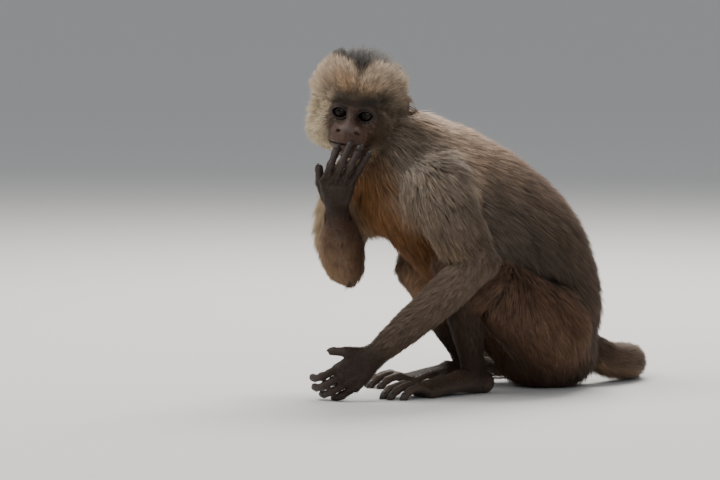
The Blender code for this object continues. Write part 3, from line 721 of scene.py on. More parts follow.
def lay_of(p, n):
    """For skin points and normals: zone weights, place along each bone (0..1), coat depth and the way the hair lies."""
    count = len(p)
    dist = np.full((count, len(ZONES)), 9.0)
    place = np.zeros((count, len(ZONES)))
    depth = np.zeros((count, len(ZONES)))
    way = np.zeros((count, len(ZONES), 3))
    for k, bone in enumerate(BONES):
        d, seg, t = bone.nearest(p)
        dist[:, k] = d
        place[:, k] = (BONE_START[k][seg] + t * (BONE_START[k][seg + 1] - BONE_START[k][seg])) / BONE_START[k][-1]
        depth[:, k] = bone.ca[seg] + (bone.cb[seg] - bone.ca[seg]) * t
        way[:, k] = bone.along[seg] * (-1 if bone.zone == "neck" else 1)
        if bone.zone.startswith("thigh"):
            near = (1 - step01(place[:, k], 0.1, 1.0))[:, None]
            way[:, k] = unit(way[:, k] * (1 - near) * 0.9 + np.array((0, 0.45, -0.8)) * near + np.array((0, 0, -0.45)))
        if bone.zone == "fore_r":
            # raised to the mouth: its hair falls back towards the elbow
            turn = (1 - step01(place[:, k], 0.6, 0.95))[:, None]
            way[:, k] = unit(way[:, k] * (1 - 1.45 * turn) + np.array((0, 0, -0.9)) * turn)
        if bone.zone.startswith("upper"):
            near = (1 - step01(place[:, k], 0.0, 0.5))[:, None]
            way[:, k] = unit(way[:, k] * (1 - 0.6 * near) + np.array((0, 0.6, -0.7)) * near)
            depth[:, k] *= 1 - 0.2 * near[:, 0]
    dist[:, 0] = np.minimum(dist[:, 0], np.min([b.d(p) for b in SHOULDER], axis=0))
    q = to_head(p)
    k = ZONE["head"]
    dist[:, k] = np.min([part.d(p) for part in HEAD_PARTS[:5] + HEAD_PARTS[9:12] + HEAD_PARTS[14:17]], axis=0)
    depth[:, k] = np.clip(-np.min([b.d(p) for b in HEAD_OUTER], axis=0), 0, 1.6)
    ruff = step01(-q[:, 0], 0.6, 2.2) * step01(-q[:, 2], 0.8, 3.0) * (1 - step01(q[:, 1], 0.5, 2.5))
    depth[:, k] = np.clip(depth[:, k] + (0.16 + 0.22 * step01(q[:, 2], -1.0, 0.6)) * step01(-q[:, 0], 0.8, 2.6) - 0.2 * step01(q[:, 0], 0.8, 2.6) + 0.2 * ruff, 0.05, 1.9)
    from_face = q - (0, -3.4, -0.9)
    way[:, k] = unit(from_face) @ HEAD_TURN.T
    sweep = step01(q[:, 1], 0.5, 3.5)
    way[:, k] += (sweep + 0.8 * ruff)[:, None] * np.array((0, 0, -0.8))
    for side in "lr":
        wrist, along, back = FRAMES["hand_" + side]
        s = (p - wrist) @ along
        k = ZONE["hand_" + side]
        off = p - wrist - np.clip(s, 0.2, 6)[:, None] * along
        dist[:, k] = np.linalg.norm(off, axis=1) - 1.15 - 0.5 * step01(s, 0.5, 3) + 2.5 * (1 - step01(dist[:, ZONE["head"]], 0.12, 0.3))
        place[:, k] = np.clip(s / 6.5, 0, 1)
        depth[:, k] = 0.16
        way[:, k] = along
        heel, ahead, outward = FRAMES["foot_" + side]
        s = (p - heel) @ ahead
        k = ZONE["foot_" + side]
        off = p - heel - np.clip(s, -0.3, 9)[:, None] * ahead - (0, 0, 0.8)
        dist[:, k] = np.linalg.norm(off, axis=1) - 1.0 - 0.5 * step01(s, 1.5, 4)
        place[:, k] = np.clip(s / 10, 0, 1)
        depth[:, k] = 0.15
        way[:, k] = ahead
    w = np.exp(-(dist - dist.min(axis=1, keepdims=True)) / 0.35)
    w /= w.sum(axis=1, keepdims=True)
    c = (w * depth).sum(axis=1) * (1 - 0.6 * (1 - step01(FOLD.d(p), 0.0, 0.5)))
    t = np.einsum("ij,ijk->ik", w, way)
    # hair of the flanks and haunches drifts downward
    drift = w[:, 0] * 0.45
    t = t + drift[:, None] * np.array((0, 0.1, -0.8)) * np.abs(n[:, :1])
    t = t - (t * n).sum(axis=1, keepdims=True) * n
    t = unit(t + 1e-6)
    return w, place, c, t, q


def face_border(q):
    """How far outside the bare face a head point is, in cm; negative inside."""
    z = q[:, 2]
    half = np.interp(z, (-4.6, -4.4, -3.6, -2.5, -1.2, -0.3, 0.2, 0.45, 0.6, 0.7), (0.0, 1.0, 1.6, 2.1, 2.3, 2.25, 1.95, 1.5, 0.9, 0.3))
    side = np.abs(q[:, 0]) - half - 0.22 * step01(-q[:, 0], 0.6, 1.6)
    above = np.maximum(z - 0.62, -4.5 - z)
    d = np.maximum(side, above)
    return np.where(q[:, 1] < -0.9, d, np.maximum(d, 0.4 + (q[:, 1] + 0.9)))


def mix(a, b, t):
    t = np.clip(np.broadcast_to(t, len(a)), 0, 1)[:, None]
    return a * (1 - t) + b * t


def ramp(x, stops, *colours):
    table = np.array([lin(*c) for c in colours])
    return np.stack([np.interp(x, stops, table[:, k]) for k in range(3)], 1)


def coat_colour(p, n, w, place, q):
    """Linear colour of the hair at skin points."""
    one = np.ones((len(p), 1))
    n0 = noise(p, 3.1, 5)
    n1 = noise(p, 1.0, 9)
    # trunk: by place from shoulders to rump and by back, flank and belly
    dor = n @ np.array((0.0, 0.73, 0.68)) + 0.10 * n0
    s = place[:, 0] + 0.05 * n0
    back = ramp(s, (0, 0.15, 0.4, 0.7, 1.0), (196, 170, 146), (180, 154, 131), (112, 94, 80), (90, 75, 65), (80, 65, 56))
    flank = ramp(s, (0, 0.2, 0.5, 1.0), (136, 122, 107), (98, 86, 75), (70, 60, 51), (64, 50, 40))
    belly = ramp(s, (0, 0.25, 0.6, 1.0), (118, 80, 45), (102, 68, 37), (88, 60, 38), (72, 52, 39))
    # painted shade: the hair darkens in the crease between flank and haunch
    painted_fold_shade = 1 - step01(FOLD.d(p), 0.0, 0.7)
    ridge = ramp(s, (0, 0.3, 1.0), (156, 125, 100), (120, 92, 71), (98, 70, 53))
    # lighter along the back, darker down the flanks: partly the coat's own colour, partly painted light on the back and
    # painted shade on the flanks
    trunk = mix(flank, back, step01(dor, 0.1, 0.75))
    trunk = mix(trunk, ridge, 0.6 * step01(dor, 0.80, 0.98))
    trunk = mix(trunk, belly, step01(-dor, 0.15, 0.6))
    for sign in (1, -1):
        patch = np.exp(-(np.linalg.norm((p - (4.2 * sign, -5.6, 19.8)) / (2.4, 2.2, 2.8), axis=1) ** 2))
        trunk = mix(trunk, lin(160, 150, 138) * one, 0.7 * patch)
    out = w[:, :1] * trunk
    throat = mix(mix(flank, back, step01(dor, 0, 0.6)), belly, step01(-dor, 0.2, 0.6))
    # painted shade on the left side of the throat, below the ear and towards the front
    throat = mix(throat, lin(64, 52, 41) * one, 0.8 * step01(q[:, 0], 1.0, 2.6) * (1 - step01(q[:, 1], 1.0, 3.4)) * (1 - step01(dor, 0.3, 0.8)))
    out += w[:, 1:2] * throat
    for side, sign in (("l", 1), ("r", -1)):
        k = ZONE["upper_" + side]
        upper = ramp(place[:, k] + 0.05 * n0, (0, 0.35, 0.75, 1), (130, 115, 100), (108, 93, 80), (96, 81, 68), (88, 73, 61))
        inside = step01(-n[:, 0] * sign - 0.25 * n[:, 1], 0.3, 0.9)
        inner = inside * step01(place[:, k], 0.1, 0.4) * (1 - 0.95 * step01(place[:, k], 0.4, 0.85))
        upper = mix(upper, lin(170, 146, 116) * one, 0.5 * inner)
        if side == "r":
            upper = mix(upper, lin(172, 152, 126) * one, 0.3)
        out += w[:, k : k + 1] * upper
        k = ZONE["fore_" + side]
        fore = ramp(place[:, k] + 0.06 * n0, (0, 0.5, 1), (104, 88, 75), (95, 80, 68), (80, 66, 56))
        fore = mix(fore, lin(128, 106, 84) * one, 0.45 * inside * (1 - step01(place[:, k], 0, 0.7)))
        if side == "r":
            fore = ramp(place[:, k] + 0.06 * n0, (0, 0.5, 1), (122, 92, 66), (108, 82, 62), (76, 58, 48))
        out += w[:, k : k + 1] * fore
        k = ZONE["thigh_" + side]
        thigh = ramp(place[:, k] + 0.05 * n1, (0, 0.6, 1), (90, 67, 52), (86, 64, 50), (98, 77, 62))
        inner = step01(-n[:, 0] * sign, 0.2, 0.8)
        thigh = mix(thigh, lin(132, 98, 72) * one, 0.6 * inner)
        out += w[:, k : k + 1] * thigh
        k = ZONE["shin_" + side]
        shin = ramp(place[:, k], (0, 0.4, 1), (84, 66, 52), (60, 46, 36), (50, 38, 30))
        if side == "r":
            shin = mix(shin, lin(168, 134, 104) * one, 0.6 * (1 - step01(place[:, k], 0.1, 0.6)))
        out += w[:, k : k + 1] * shin
        out += w[:, ZONE["hand_" + side], None] * lin(50, 38, 29)
        out += w[:, ZONE["foot_" + side], None] * lin(60, 46, 37)
    k = ZONE["tail"]
    tail = ramp(place[:, k] + 0.04 * n1, (0, 0.3, 0.8, 1), (78, 61, 49), (92, 75, 61), (82, 65, 53), (60, 47, 39))
    tail = mix(tail, lin(132, 108, 84) * one, 0.5 * step01(-n[:, 2], 0, 0.8))
    out += w[:, k : k + 1] * tail
    # head
    k = ZONE["head"]
    x, y, z = q.T
    side = np.abs(x)
    bend = np.degrees(np.arctan2(z + 0.4, -(y - 0.9)))
    bend = np.where(bend < -90, bend + 360, bend)
    cheek = lin(186, 169, 140) * one
    head = mix(cheek, lin(176, 154, 131) * one, step01(z, -1.0, 1.8))
    gold = np.exp(-(((side - 0.9) / 1.3) ** 2)) * step01(z, 0.7, 1.3) * (1 - step01(z - 0.5 * step01(-x, -0.2, 0.6), 1.5, 2.6)) * step01(-y, 0.0, 1.4)
    head = mix(head, lin(128, 98, 66) * one, 0.8 * gold * (1 - 0.35 * step01(x, 0.0, 1.0)))
    head = mix(head, lin(140, 120, 100) * one, step01(y, 0.0, 1.9))
    head = mix(head, lin(98, 81, 67) * one, step01(y, 1.8, 3.6))
    # painted shade: the head's left side, from the jaw up past the brow and towards the front, is darkened as if turned
    # from the light; the other side stays pale
    shade = step01(x, 1.4, 2.6) * (1 - step01(z + 0.2 * n1, -0.6, 2.7))
    head = mix(head, lin(60, 47, 37) * one, 0.95 * shade * (1 - 0.85 * step01(y, -0.2, 1.3)))
    half = np.interp(bend, (40, 52, 60, 68, 78, 90, 120, 150, 180, 220), (0.04, 0.2, 0.45, 1.0, 2.2, 2.9, 3.0, 2.9, 2.7, 2.3))
    cap = 1 - step01(np.abs(x + 0.45 * step01(bend, 45, 80) * (1 - step01(bend, 110, 150))) + 0.25 * n1, half * 0.5, half * 1.35 + 0.15)
    dark = ramp(bend, (60, 80, 105, 130, 180), (26, 21, 19), (10, 9, 9), (13, 11, 10), (38, 31, 26), (78, 64, 53))
    head = mix(head, dark, cap * step01(bend, 38, 60) * 0.97)
    crease = np.exp(-((x / 0.16) ** 2)) * step01(-y, 0.8, 1.8) * step01(z, 0.8, 1.4)
    head = mix(head, lin(70, 55, 45) * one, 0.55 * crease)
    # the dark band over the eyes: partly the dark brow hair, partly painted shadow under the overhanging brow
    over = z - 0.14 - 0.05 * side + 0.22 * n1
    band = step01(over, -0.6, 0.1) * (1 - step01(over, 0.6, 1.85)) * step01(-y, 0.5, 1.5) * (1 - 0.97 * step01(-x, 1.3, 2.8)) * (1 - 0.8 * step01(x, 1.7, 3.3))
    head = mix(head, lin(16, 11, 8) * one, 0.96 * band)
    # short brown hair of the face itself, and its soft border
    border = face_border(q)
    head = mix(head, lin(58, 44, 33) * one, (1 - step01(border, -0.1, 0.75)) * step01(-y, 0.6, 1.4) * (1 - 0.6 * step01(-x, 1.6, 2.2)) * (1 - 0.9 * step01(-z, 3.0, 4.0) * step01(-x, 0.4, 1.2)))
    out += w[:, k : k + 1] * head
    # painted shade in the crease between flank and haunch
    out = mix(out, lin(34, 26, 22) * one, 0.85 * painted_fold_shade)
    return out * (1 + 0.10 * n0 + 0.08 * n1)[:, None]


def skin_colour(p, n, w, place, q, fur):
    """Linear colour of the bare skin, and under the coat the coat's own markings, darkened as painted shade deep in the
    coat.
    """
    one = np.ones(len(p))[:, None]
    x, y, z = q.T
    side = np.abs(x)
    # painted shade: under the coat the skin takes the coat's colour, darkened as if deep in the coat's shadow
    under = fur * 0.68
    bare = lin(69, 47, 34) * one
    muzzle = np.exp(-((side / 1.5) ** 2 + ((z + 2.3) / 1.1) ** 2)) * step01(-y, 3.0, 3.8)
    bare = mix(bare, lin(80, 57, 45) * one, muzzle)
    nose = np.exp(-((side / 1.05) ** 2 + ((z + 1.45) / 0.62) ** 2)) * step01(-y, 3.6, 4.3)
    bare = mix(bare, lin(82, 66, 61) * one, 0.9 * nose)
    for s in (1, -1):
        e, f = lid_axes(q, s)
        a = almond(e, f)
        around = np.exp(-((np.maximum(a, 0) / 0.34) ** 2)) * step01(-y, 1.4, 2.0)
        bare = mix(bare, lin(38, 27, 22) * one, 0.9 * around)
        # painted shade in the grooves of the fine wrinkles and painted light on their ridges, following the same
        # pattern that carves them
        bare = bare * (1 - 0.30 * fan(e, f) * step01(-y, 1.4, 2.0))[:, None]
        bare = mix(bare, lin(28, 19, 18) * one, step01(-a, -0.09, 0.02) * step01(-y, 1.6, 2.1))
    # dark skin over the eyes: partly its own colour, partly painted shadow under the brow
    brow = step01(z, 0.1, 0.6) * step01(-y, 1.4, 2.2)
    bare = mix(bare, lin(26, 19, 15) * one, brow)
    lips = np.exp(-(((z - mouth_height(x)) / 0.10) ** 2)) * (1 - step01(side, 1.4, 1.9)) * step01(-y, 2.0, 2.8)
    bare = mix(bare, lin(52, 32, 29) * one, 0.8 * lips)
    bare = bare * (1 + 0.16 * noise(p, 0.5, 21) + 0.10 * noise(p, 0.17, 22))[:, None]
    border = face_border(q)
    ear = np.minimum.reduce([np.linalg.norm((q - (3.74 * s, 1.0, -0.05)) / (1.15, 1.2, 1.6), axis=1) for s in (1, -1)])
    face = w[:, ZONE["head"]] * (1 - step01(border, -0.15, 0.35))
    out = mix(under, bare, face)
    out = mix(out, lin(100, 78, 66) * one * (1 + 0.12 * noise(p, 0.4, 23))[:, None], (1 - step01(ear, 0.85, 1.05)) * w[:, ZONE["head"]])
    limb = w[:, ZONE["hand_l"]] + w[:, ZONE["hand_r"]]
    paw = lin(49, 34, 26) * one * (1 + 0.14 * noise(p, 0.6, 31) + 0.08 * noise(p, 0.2, 32))[:, None]
    out = mix(out, paw, limb)
    sole = step01(-n[:, 2], 0.2, 0.8)
    foot = mix(lin(68, 52, 41) * one, lin(50, 38, 32) * one, sole) * (1 + 0.14 * noise(p, 0.6, 31) + 0.08 * noise(p, 0.2, 32))[:, None]
    out = mix(out, foot, w[:, ZONE["foot_l"]] + w[:, ZONE["foot_r"]])
    return out


# ------------------------------------------------------------------ materials
def tree_of(name):
    material = bpy.data.materials.new(name)
    material.use_nodes = True
    nodes = material.node_tree.nodes
    return material, nodes, material.node_tree.links, nodes["Principled BSDF"]


def tinted(nodes, links, shader, scale, low, high, detail=4.0):
    """The vertex tint, varied by a fine noise, into the base colour. Returns the coordinates node."""
    tint = nodes.new("ShaderNodeAttribute")
    tint.attribute_name = "tint"
    place = nodes.new("ShaderNodeTexCoord")
    grain = nodes.new("ShaderNodeTexNoise")
    grain.inputs["Scale"].default_value = scale
    grain.inputs["Detail"].default_value = detail
    links.new(place.outputs["Object"], grain.inputs["Vector"])
    band = nodes.new("ShaderNodeMapRange")
    band.inputs["From Min"].default_value, band.inputs["From Max"].default_value = 0.3, 0.7
    band.inputs["To Min"].default_value, band.inputs["To Max"].default_value = low, high
    links.new(grain.outputs["Fac"], band.inputs["Value"])
    times = nodes.new("ShaderNodeVectorMath")
    times.operation = "SCALE"
    links.new(tint.outputs["Color"], times.inputs[0])
    links.new(band.outputs["Result"], times.inputs["Scale"])
    links.new(times.outputs["Vector"], shader.inputs["Base Color"])
    return place, grain


def skin_material():
    material, nodes, links, shader = tree_of("skin")
    place, grain = tinted(nodes, links, shader, 900, 0.86, 1.12)
    rough = nodes.new("ShaderNodeMapRange")
    rough.inputs["To Min"].default_value, rough.inputs["To Max"].default_value = 0.42, 0.66
    links.new(grain.outputs["Fac"], rough.inputs["Value"])
    links.new(rough.outputs["Result"], shader.inputs["Roughness"])
    cells = nodes.new("ShaderNodeTexVoronoi")
    cells.feature = "DISTANCE_TO_EDGE"
    cells.inputs["Scale"].default_value = 950
    warp = nodes.new("ShaderNodeMapping")
    warp.inputs["Scale"].default_value = (1.0, 1.0, 1.8)
    links.new(place.outputs["Object"], warp.inputs["Vector"])
    links.new(warp.outputs["Vector"], cells.inputs["Vector"])
    furrow = nodes.new("ShaderNodeMapRange")
    furrow.inputs["From Max"].default_value = 0.12
    links.new(cells.outputs["Distance"], furrow.inputs["Value"])
    bump = nodes.new("ShaderNodeBump")
    bump.inputs["Strength"].default_value = 0.45
    bump.inputs["Distance"].default_value = 0.00016
    links.new(furrow.outputs["Result"], bump.inputs["Height"])
    coarse = nodes.new("ShaderNodeTexNoise")
    coarse.inputs["Scale"].default_value = 320
    coarse.inputs["Detail"].default_value = 5
    links.new(place.outputs["Object"], coarse.inputs["Vector"])
    fold = nodes.new("ShaderNodeBump")
    fold.inputs["Strength"].default_value = 0.5
    fold.inputs["Distance"].default_value = 0.0004
    links.new(coarse.outputs["Fac"], fold.inputs["Height"])
    links.new(bump.outputs["Normal"], fold.inputs["Normal"])
    links.new(fold.outputs["Normal"], shader.inputs["Normal"])
    shader.inputs["Subsurface Weight"].default_value = 0.06
    shader.inputs["Subsurface Radius"].default_value = (0.0025, 0.001, 0.0006)
    shader.inputs["Subsurface Scale"].default_value = 1.0
    shader.inputs["Specular IOR Level"].default_value = 0.38
    return material


def fur_material():
    material, nodes, links, shader = tree_of("fur")
    place, grain = tinted(nodes, links, shader, 1400, 0.82, 1.16, 3.0)
    rough = nodes.new("ShaderNodeMapRange")
    rough.inputs["To Min"].default_value, rough.inputs["To Max"].default_value = 0.46, 0.66
    links.new(grain.outputs["Fac"], rough.inputs["Value"])
    links.new(rough.outputs["Result"], shader.inputs["Roughness"])
    bump = nodes.new("ShaderNodeBump")
    bump.inputs["Strength"].default_value = 0.3
    bump.inputs["Distance"].default_value = 0.0001
    links.new(grain.outputs["Fac"], bump.inputs["Height"])
    links.new(bump.outputs["Normal"], shader.inputs["Normal"])
    shader.inputs["Specular IOR Level"].default_value = 0.15
    shader.inputs["Sheen Weight"].default_value = 0.04
    shader.inputs["Sheen Roughness"].default_value = 0.45
    return material


def horn_material():
    material, nodes, links, shader = tree_of("nail")
    place, grain = tinted(nodes, links, shader, 700, 0.8, 1.2)
    rough = nodes.new("ShaderNodeMapRange")
    rough.inputs["To Min"].default_value, rough.inputs["To Max"].default_value = 0.32, 0.5
    links.new(grain.outputs["Fac"], rough.inputs["Value"])
    links.new(rough.outputs["Result"], shader.inputs["Roughness"])
    bump = nodes.new("ShaderNodeBump")
    bump.inputs["Strength"].default_value = 0.25
    bump.inputs["Distance"].default_value = 0.0001
    links.new(grain.outputs["Fac"], bump.inputs["Height"])
    links.new(bump.outputs["Normal"], shader.inputs["Normal"])
    shader.inputs["Coat Weight"].default_value = 0.1
    shader.inputs["Coat Roughness"].default_value = 0.2
    return material


def eye_material():
    material, nodes, links, shader = tree_of("eye")
    place, grain = tinted(nodes, links, shader, 1600, 0.85, 1.15)
    rough = nodes.new("ShaderNodeMapRange")
    rough.inputs["To Min"].default_value, rough.inputs["To Max"].default_value = 0.07, 0.12
    links.new(grain.outputs["Fac"], rough.inputs["Value"])
    links.new(rough.outputs["Result"], shader.inputs["Roughness"])
    bump = nodes.new("ShaderNodeBump")
    bump.inputs["Strength"].default_value = 0.04
    bump.inputs["Distance"].default_value = 0.00005
    links.new(grain.outputs["Fac"], bump.inputs["Height"])
    links.new(bump.outputs["Normal"], shader.inputs["Normal"])
    shader.inputs["Coat Weight"].default_value = 0.14
    shader.inputs["Coat Roughness"].default_value = 0.03
    shader.inputs["Specular IOR Level"].default_value = 0.1
    return material


def floor_material():
    material, nodes, links, shader = tree_of("floor")
    place = nodes.new("ShaderNodeTexCoord")
    grain = nodes.new("ShaderNodeTexNoise")
    grain.inputs["Scale"].default_value = 60
    grain.inputs["Detail"].default_value = 5
    links.new(place.outputs["Object"], grain.inputs["Vector"])
    band = nodes.new("ShaderNodeMapRange")
    band.inputs["To Min"].default_value, band.inputs["To Max"].default_value = 0.66, 0.82
    links.new(grain.outputs["Fac"], band.inputs["Value"])
    links.new(band.outputs["Result"], shader.inputs["Roughness"])
    shader.inputs["Base Color"].default_value = (0.72, 0.71, 0.69, 1)
    return material


SKIN, FUR, NAIL, EYE = skin_material(), fur_material(), horn_material(), eye_material()


# ==== BUILD ====
# ------------------------------------------------------------------ skin
def thinned(verts, tris, keep, target):
    """Quadric thinning of the mesh; keep (0..1 per vertex) is what to spare."""
    mesh = bpy.data.meshes.new("raw")
    mesh.vertices.add(len(verts))
    mesh.vertices.foreach_set("co", verts.astype(np.float32).ravel())
    mesh.loops.add(tris.size)
    mesh.loops.foreach_set("vertex_index", tris.astype(np.int32).ravel())
    mesh.polygons.add(len(tris))
    mesh.polygons.foreach_set("loop_start", np.arange(0, tris.size, 3, dtype=np.int32))
    mesh.update(calc_edges=True)
    obj = bpy.data.objects.new("raw", mesh)
    bpy.context.scene.collection.objects.link(obj)
    group = obj.vertex_groups.new(name="thin")
    level = np.round((1 - keep) * 10).astype(int)
    for value in np.unique(level):
        group.add(np.nonzero(level == value)[0].tolist(), value / 10, "REPLACE")
    mod = obj.modifiers.new("thin", "DECIMATE")
    mod.ratio = min(1.0, target / len(tris))
    mod.vertex_group = "thin"
    mod.vertex_group_factor = 4.0
    mod.use_collapse_triangulate = True
    done = obj.evaluated_get(bpy.context.evaluated_depsgraph_get()).to_mesh()
    v = np.zeros(len(done.vertices) * 3, np.float32)
    done.vertices.foreach_get("co", v)
    t = np.zeros(len(done.loops), np.int32)
    done.loops.foreach_get("vertex_index", t)
    bpy.data.objects.remove(obj)
    bpy.data.meshes.remove(mesh)
    return v.reshape(-1, 3).astype(float), t.reshape(-1, 3).astype(int)


def without_flecks(verts, tris):
    """The faces that are left without those of no area and without the tiny flecks that hang on by a shared edge."""
    spots, at = np.unique(((verts + SHIFT) * 0.01).astype(np.float32), axis=0, return_inverse=True)
    corner = at.reshape(-1)[tris]
    flat = (corner[:, 0] == corner[:, 1]) | (corner[:, 1] == corner[:, 2]) | (corner[:, 0] == corner[:, 2])
    kept, corner = tris[~flat], corner[~flat]
    ends = np.sort(np.vstack([corner[:, [0, 1]], corner[:, [1, 2]], corner[:, [2, 0]]]), axis=1)
    _, edge, count = np.unique(ends[:, 0].astype(np.int64) * len(spots) + ends[:, 1], return_inverse=True, return_counts=True)
    order = np.argsort(edge.reshape(-1), kind="stable")
    face_of = np.tile(np.arange(len(kept)), 3)[order]
    first = np.concatenate(([0], np.cumsum(count)[:-1]))[count == 2]
    a, b = face_of[first], face_of[first + 1]
    label = np.arange(len(kept))
    for _ in range(2000):
        before, low = label.copy(), np.minimum(label[a], label[b])
        np.minimum.at(label, a, low)
        np.minimum.at(label, b, low)
        label = label[label]
        if (label == before).all():
            break
    _, group, size = np.unique(label, return_inverse=True, return_counts=True)
    return kept[size[group.reshape(-1)] >= 50]


verts, quads = grow_skin()
tris = triangles_of(verts, quads)
q = to_head(verts)
face = (q[:, 1] < -1.3) & (np.abs(q[:, 0]) < 2.7) & (q[:, 2] > -4.2) & (q[:, 2] < 1.4) & (np.linalg.norm(q, axis=1) < 6.5)
verts, tris, _ = refine(verts, tris, face)
q = to_head(verts)
lid = np.minimum(almond(*lid_axes(q, 1)), almond(*lid_axes(q, -1)))
fine = (q[:, 1] < -1.6) & (np.linalg.norm(q, axis=1) < 6.5) & (
    (lid < 0.32)
    | ((np.abs(q[:, 2] - mouth_height(q[:, 0])) < 0.2) & (np.abs(q[:, 0]) < 1.9))
    | ((np.abs(q[:, 0]) < 1.35) & (np.abs(q[:, 2] + 1.75) < 0.45) & (q[:, 1] < -3.7))
)
verts, tris, _ = refine(verts, tris, fine)
q = to_head(verts)
head_face = (np.linalg.norm(q, axis=1) < 6.5) & (face_border(q) < 0.4)
ears = np.minimum.reduce([np.linalg.norm(q - (3.62 * s, 1.0, -0.1), axis=1) for s in (1, -1)]) < 1.8
digits = np.zeros(len(verts), bool)
for side in "lr":
    wrist, along, _ = FRAMES["hand_" + side]
    digits |= np.linalg.norm(verts - wrist - along * 3.4, axis=1) < 4.6
    heel, ahead, _ = FRAMES["foot_" + side]
    digits |= (np.linalg.norm((verts - heel - ahead * 4.6)[:, :2], axis=1) < 5.9) & (verts[:, 2] < 2.2)
verts = pull(verts, head_face | ears | digits, 2)
keep = np.where(head_face, 1.0, np.where(digits, 0.8, np.where(ears, 0.7, 0.1)))
verts, tris = thinned(verts, tris, keep, 185000)
normals = vertex_normals(verts, tris)
weights, place, depth, lay, q = lay_of(verts, normals)
fur_tint = coat_colour(verts, normals, weights, place, q)
used, packed = np.unique(without_flecks(verts, tris), return_inverse=True)
skin_tint = skin_colour(verts, normals, weights, place, q, fur_tint)
skin = mesh_object("skin", verts[used], packed.reshape(-1, 3), SKIN, skin_tint[used])
flesh = [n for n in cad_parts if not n.startswith("eye")]
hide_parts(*flesh)
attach(skin, "root")


# ------------------------------------------------------------------ eyes
def eye(side, s):
    at = in_head(EYE_AT * (s, 1, 1))
    gaze = unit(np.array((0.9041, -0.4216, 0.0698)) * 0.55 + unit(HEAD_TURN @ np.array((0.0, -1.0, -0.05))) * 0.45)
    up = unit(np.array((0, 0, 1.0)) - gaze[2] * gaze)
    right = np.cross(gaze, up)
    rings, round_ = 44, 64
    a = np.linspace(0, 1, rings + 1)[1:] ** 1.25 * math.pi
    turn = np.arange(round_) / round_ * 2 * math.pi
    r = 0.775 + 0.035 * np.exp(-((a / 0.42) ** 2))
    points = [at + gaze * (0.775 + 0.035)]
    grid = at + (r * np.cos(a))[:, None, None] * gaze + (r * np.sin(a))[:, None, None] * (
        np.cos(turn)[None, :, None] * right + np.sin(turn)[None, :, None] * up
    )
    verts = np.concatenate([points, grid.reshape(-1, 3)])
    angle = np.concatenate([[0], np.repeat(a, round_)])
    spoke = np.concatenate([[0], np.tile(turn, rings)])
    tris = []
    for j in range(round_):
        k = (j + 1) % round_
        tris.append((0, 1 + j, 1 + k))
    for i in range(rings - 1):
        for j in range(round_):
            k = (j + 1) % round_
            p0, p1, p2, p3 = 1 + i * round_ + j, 1 + (i + 1) * round_ + j, 1 + (i + 1) * round_ + k, 1 + i * round_ + k
            tris += [(p0, p1, p2), (p0, p2, p3)]
    # the last ring is the pole: pinched, so merge it to one point
    tris = np.array(tris)
    last = 1 + (rings - 1) * round_
    tris[tris >= last] = last
    tris = tris[(tris[:, 0] != tris[:, 1]) & (tris[:, 1] != tris[:, 2]) & (tris[:, 0] != tris[:, 2])]
    verts, angle, spoke = verts[: last + 1], angle[: last + 1], spoke[: last + 1]
    iris = lin(34, 25, 17) * np.ones((len(verts), 1))
    iris = iris * (1 + 0.25 * np.sin(spoke * 23 + 2 * np.sin(spoke * 7)) * step01(angle, 0.28, 0.4))[:, None]
    iris = mix(iris, lin(20, 13, 9) * np.ones((len(verts), 1)), step01(angle, 0.42, 0.62))
    c = mix(lin(6, 5, 5) * np.ones((len(verts), 1)), iris, step01(angle, 0.25, 0.32))
    c = mix(c, lin(20, 13, 10) * np.ones((len(verts), 1)), step01(angle, 0.60, 0.70))
    c = mix(c, lin(50, 36, 28) * np.ones((len(verts), 1)), step01(angle, 0.76, 0.95))
    # wind the faces outwards
    n = np.cross(verts[tris[:, 1]] - verts[tris[:, 0]], verts[tris[:, 2]] - verts[tris[:, 0]])
    if (n * (verts[tris].mean(axis=1) - at)).sum() < 0:
        tris = tris[:, ::-1]
    ball = mesh_object("eyeball_" + side, verts, tris, EYE, c)
    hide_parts("eye_" + side)
    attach(ball, "root")


eye("l", 1)
eye("r", -1)


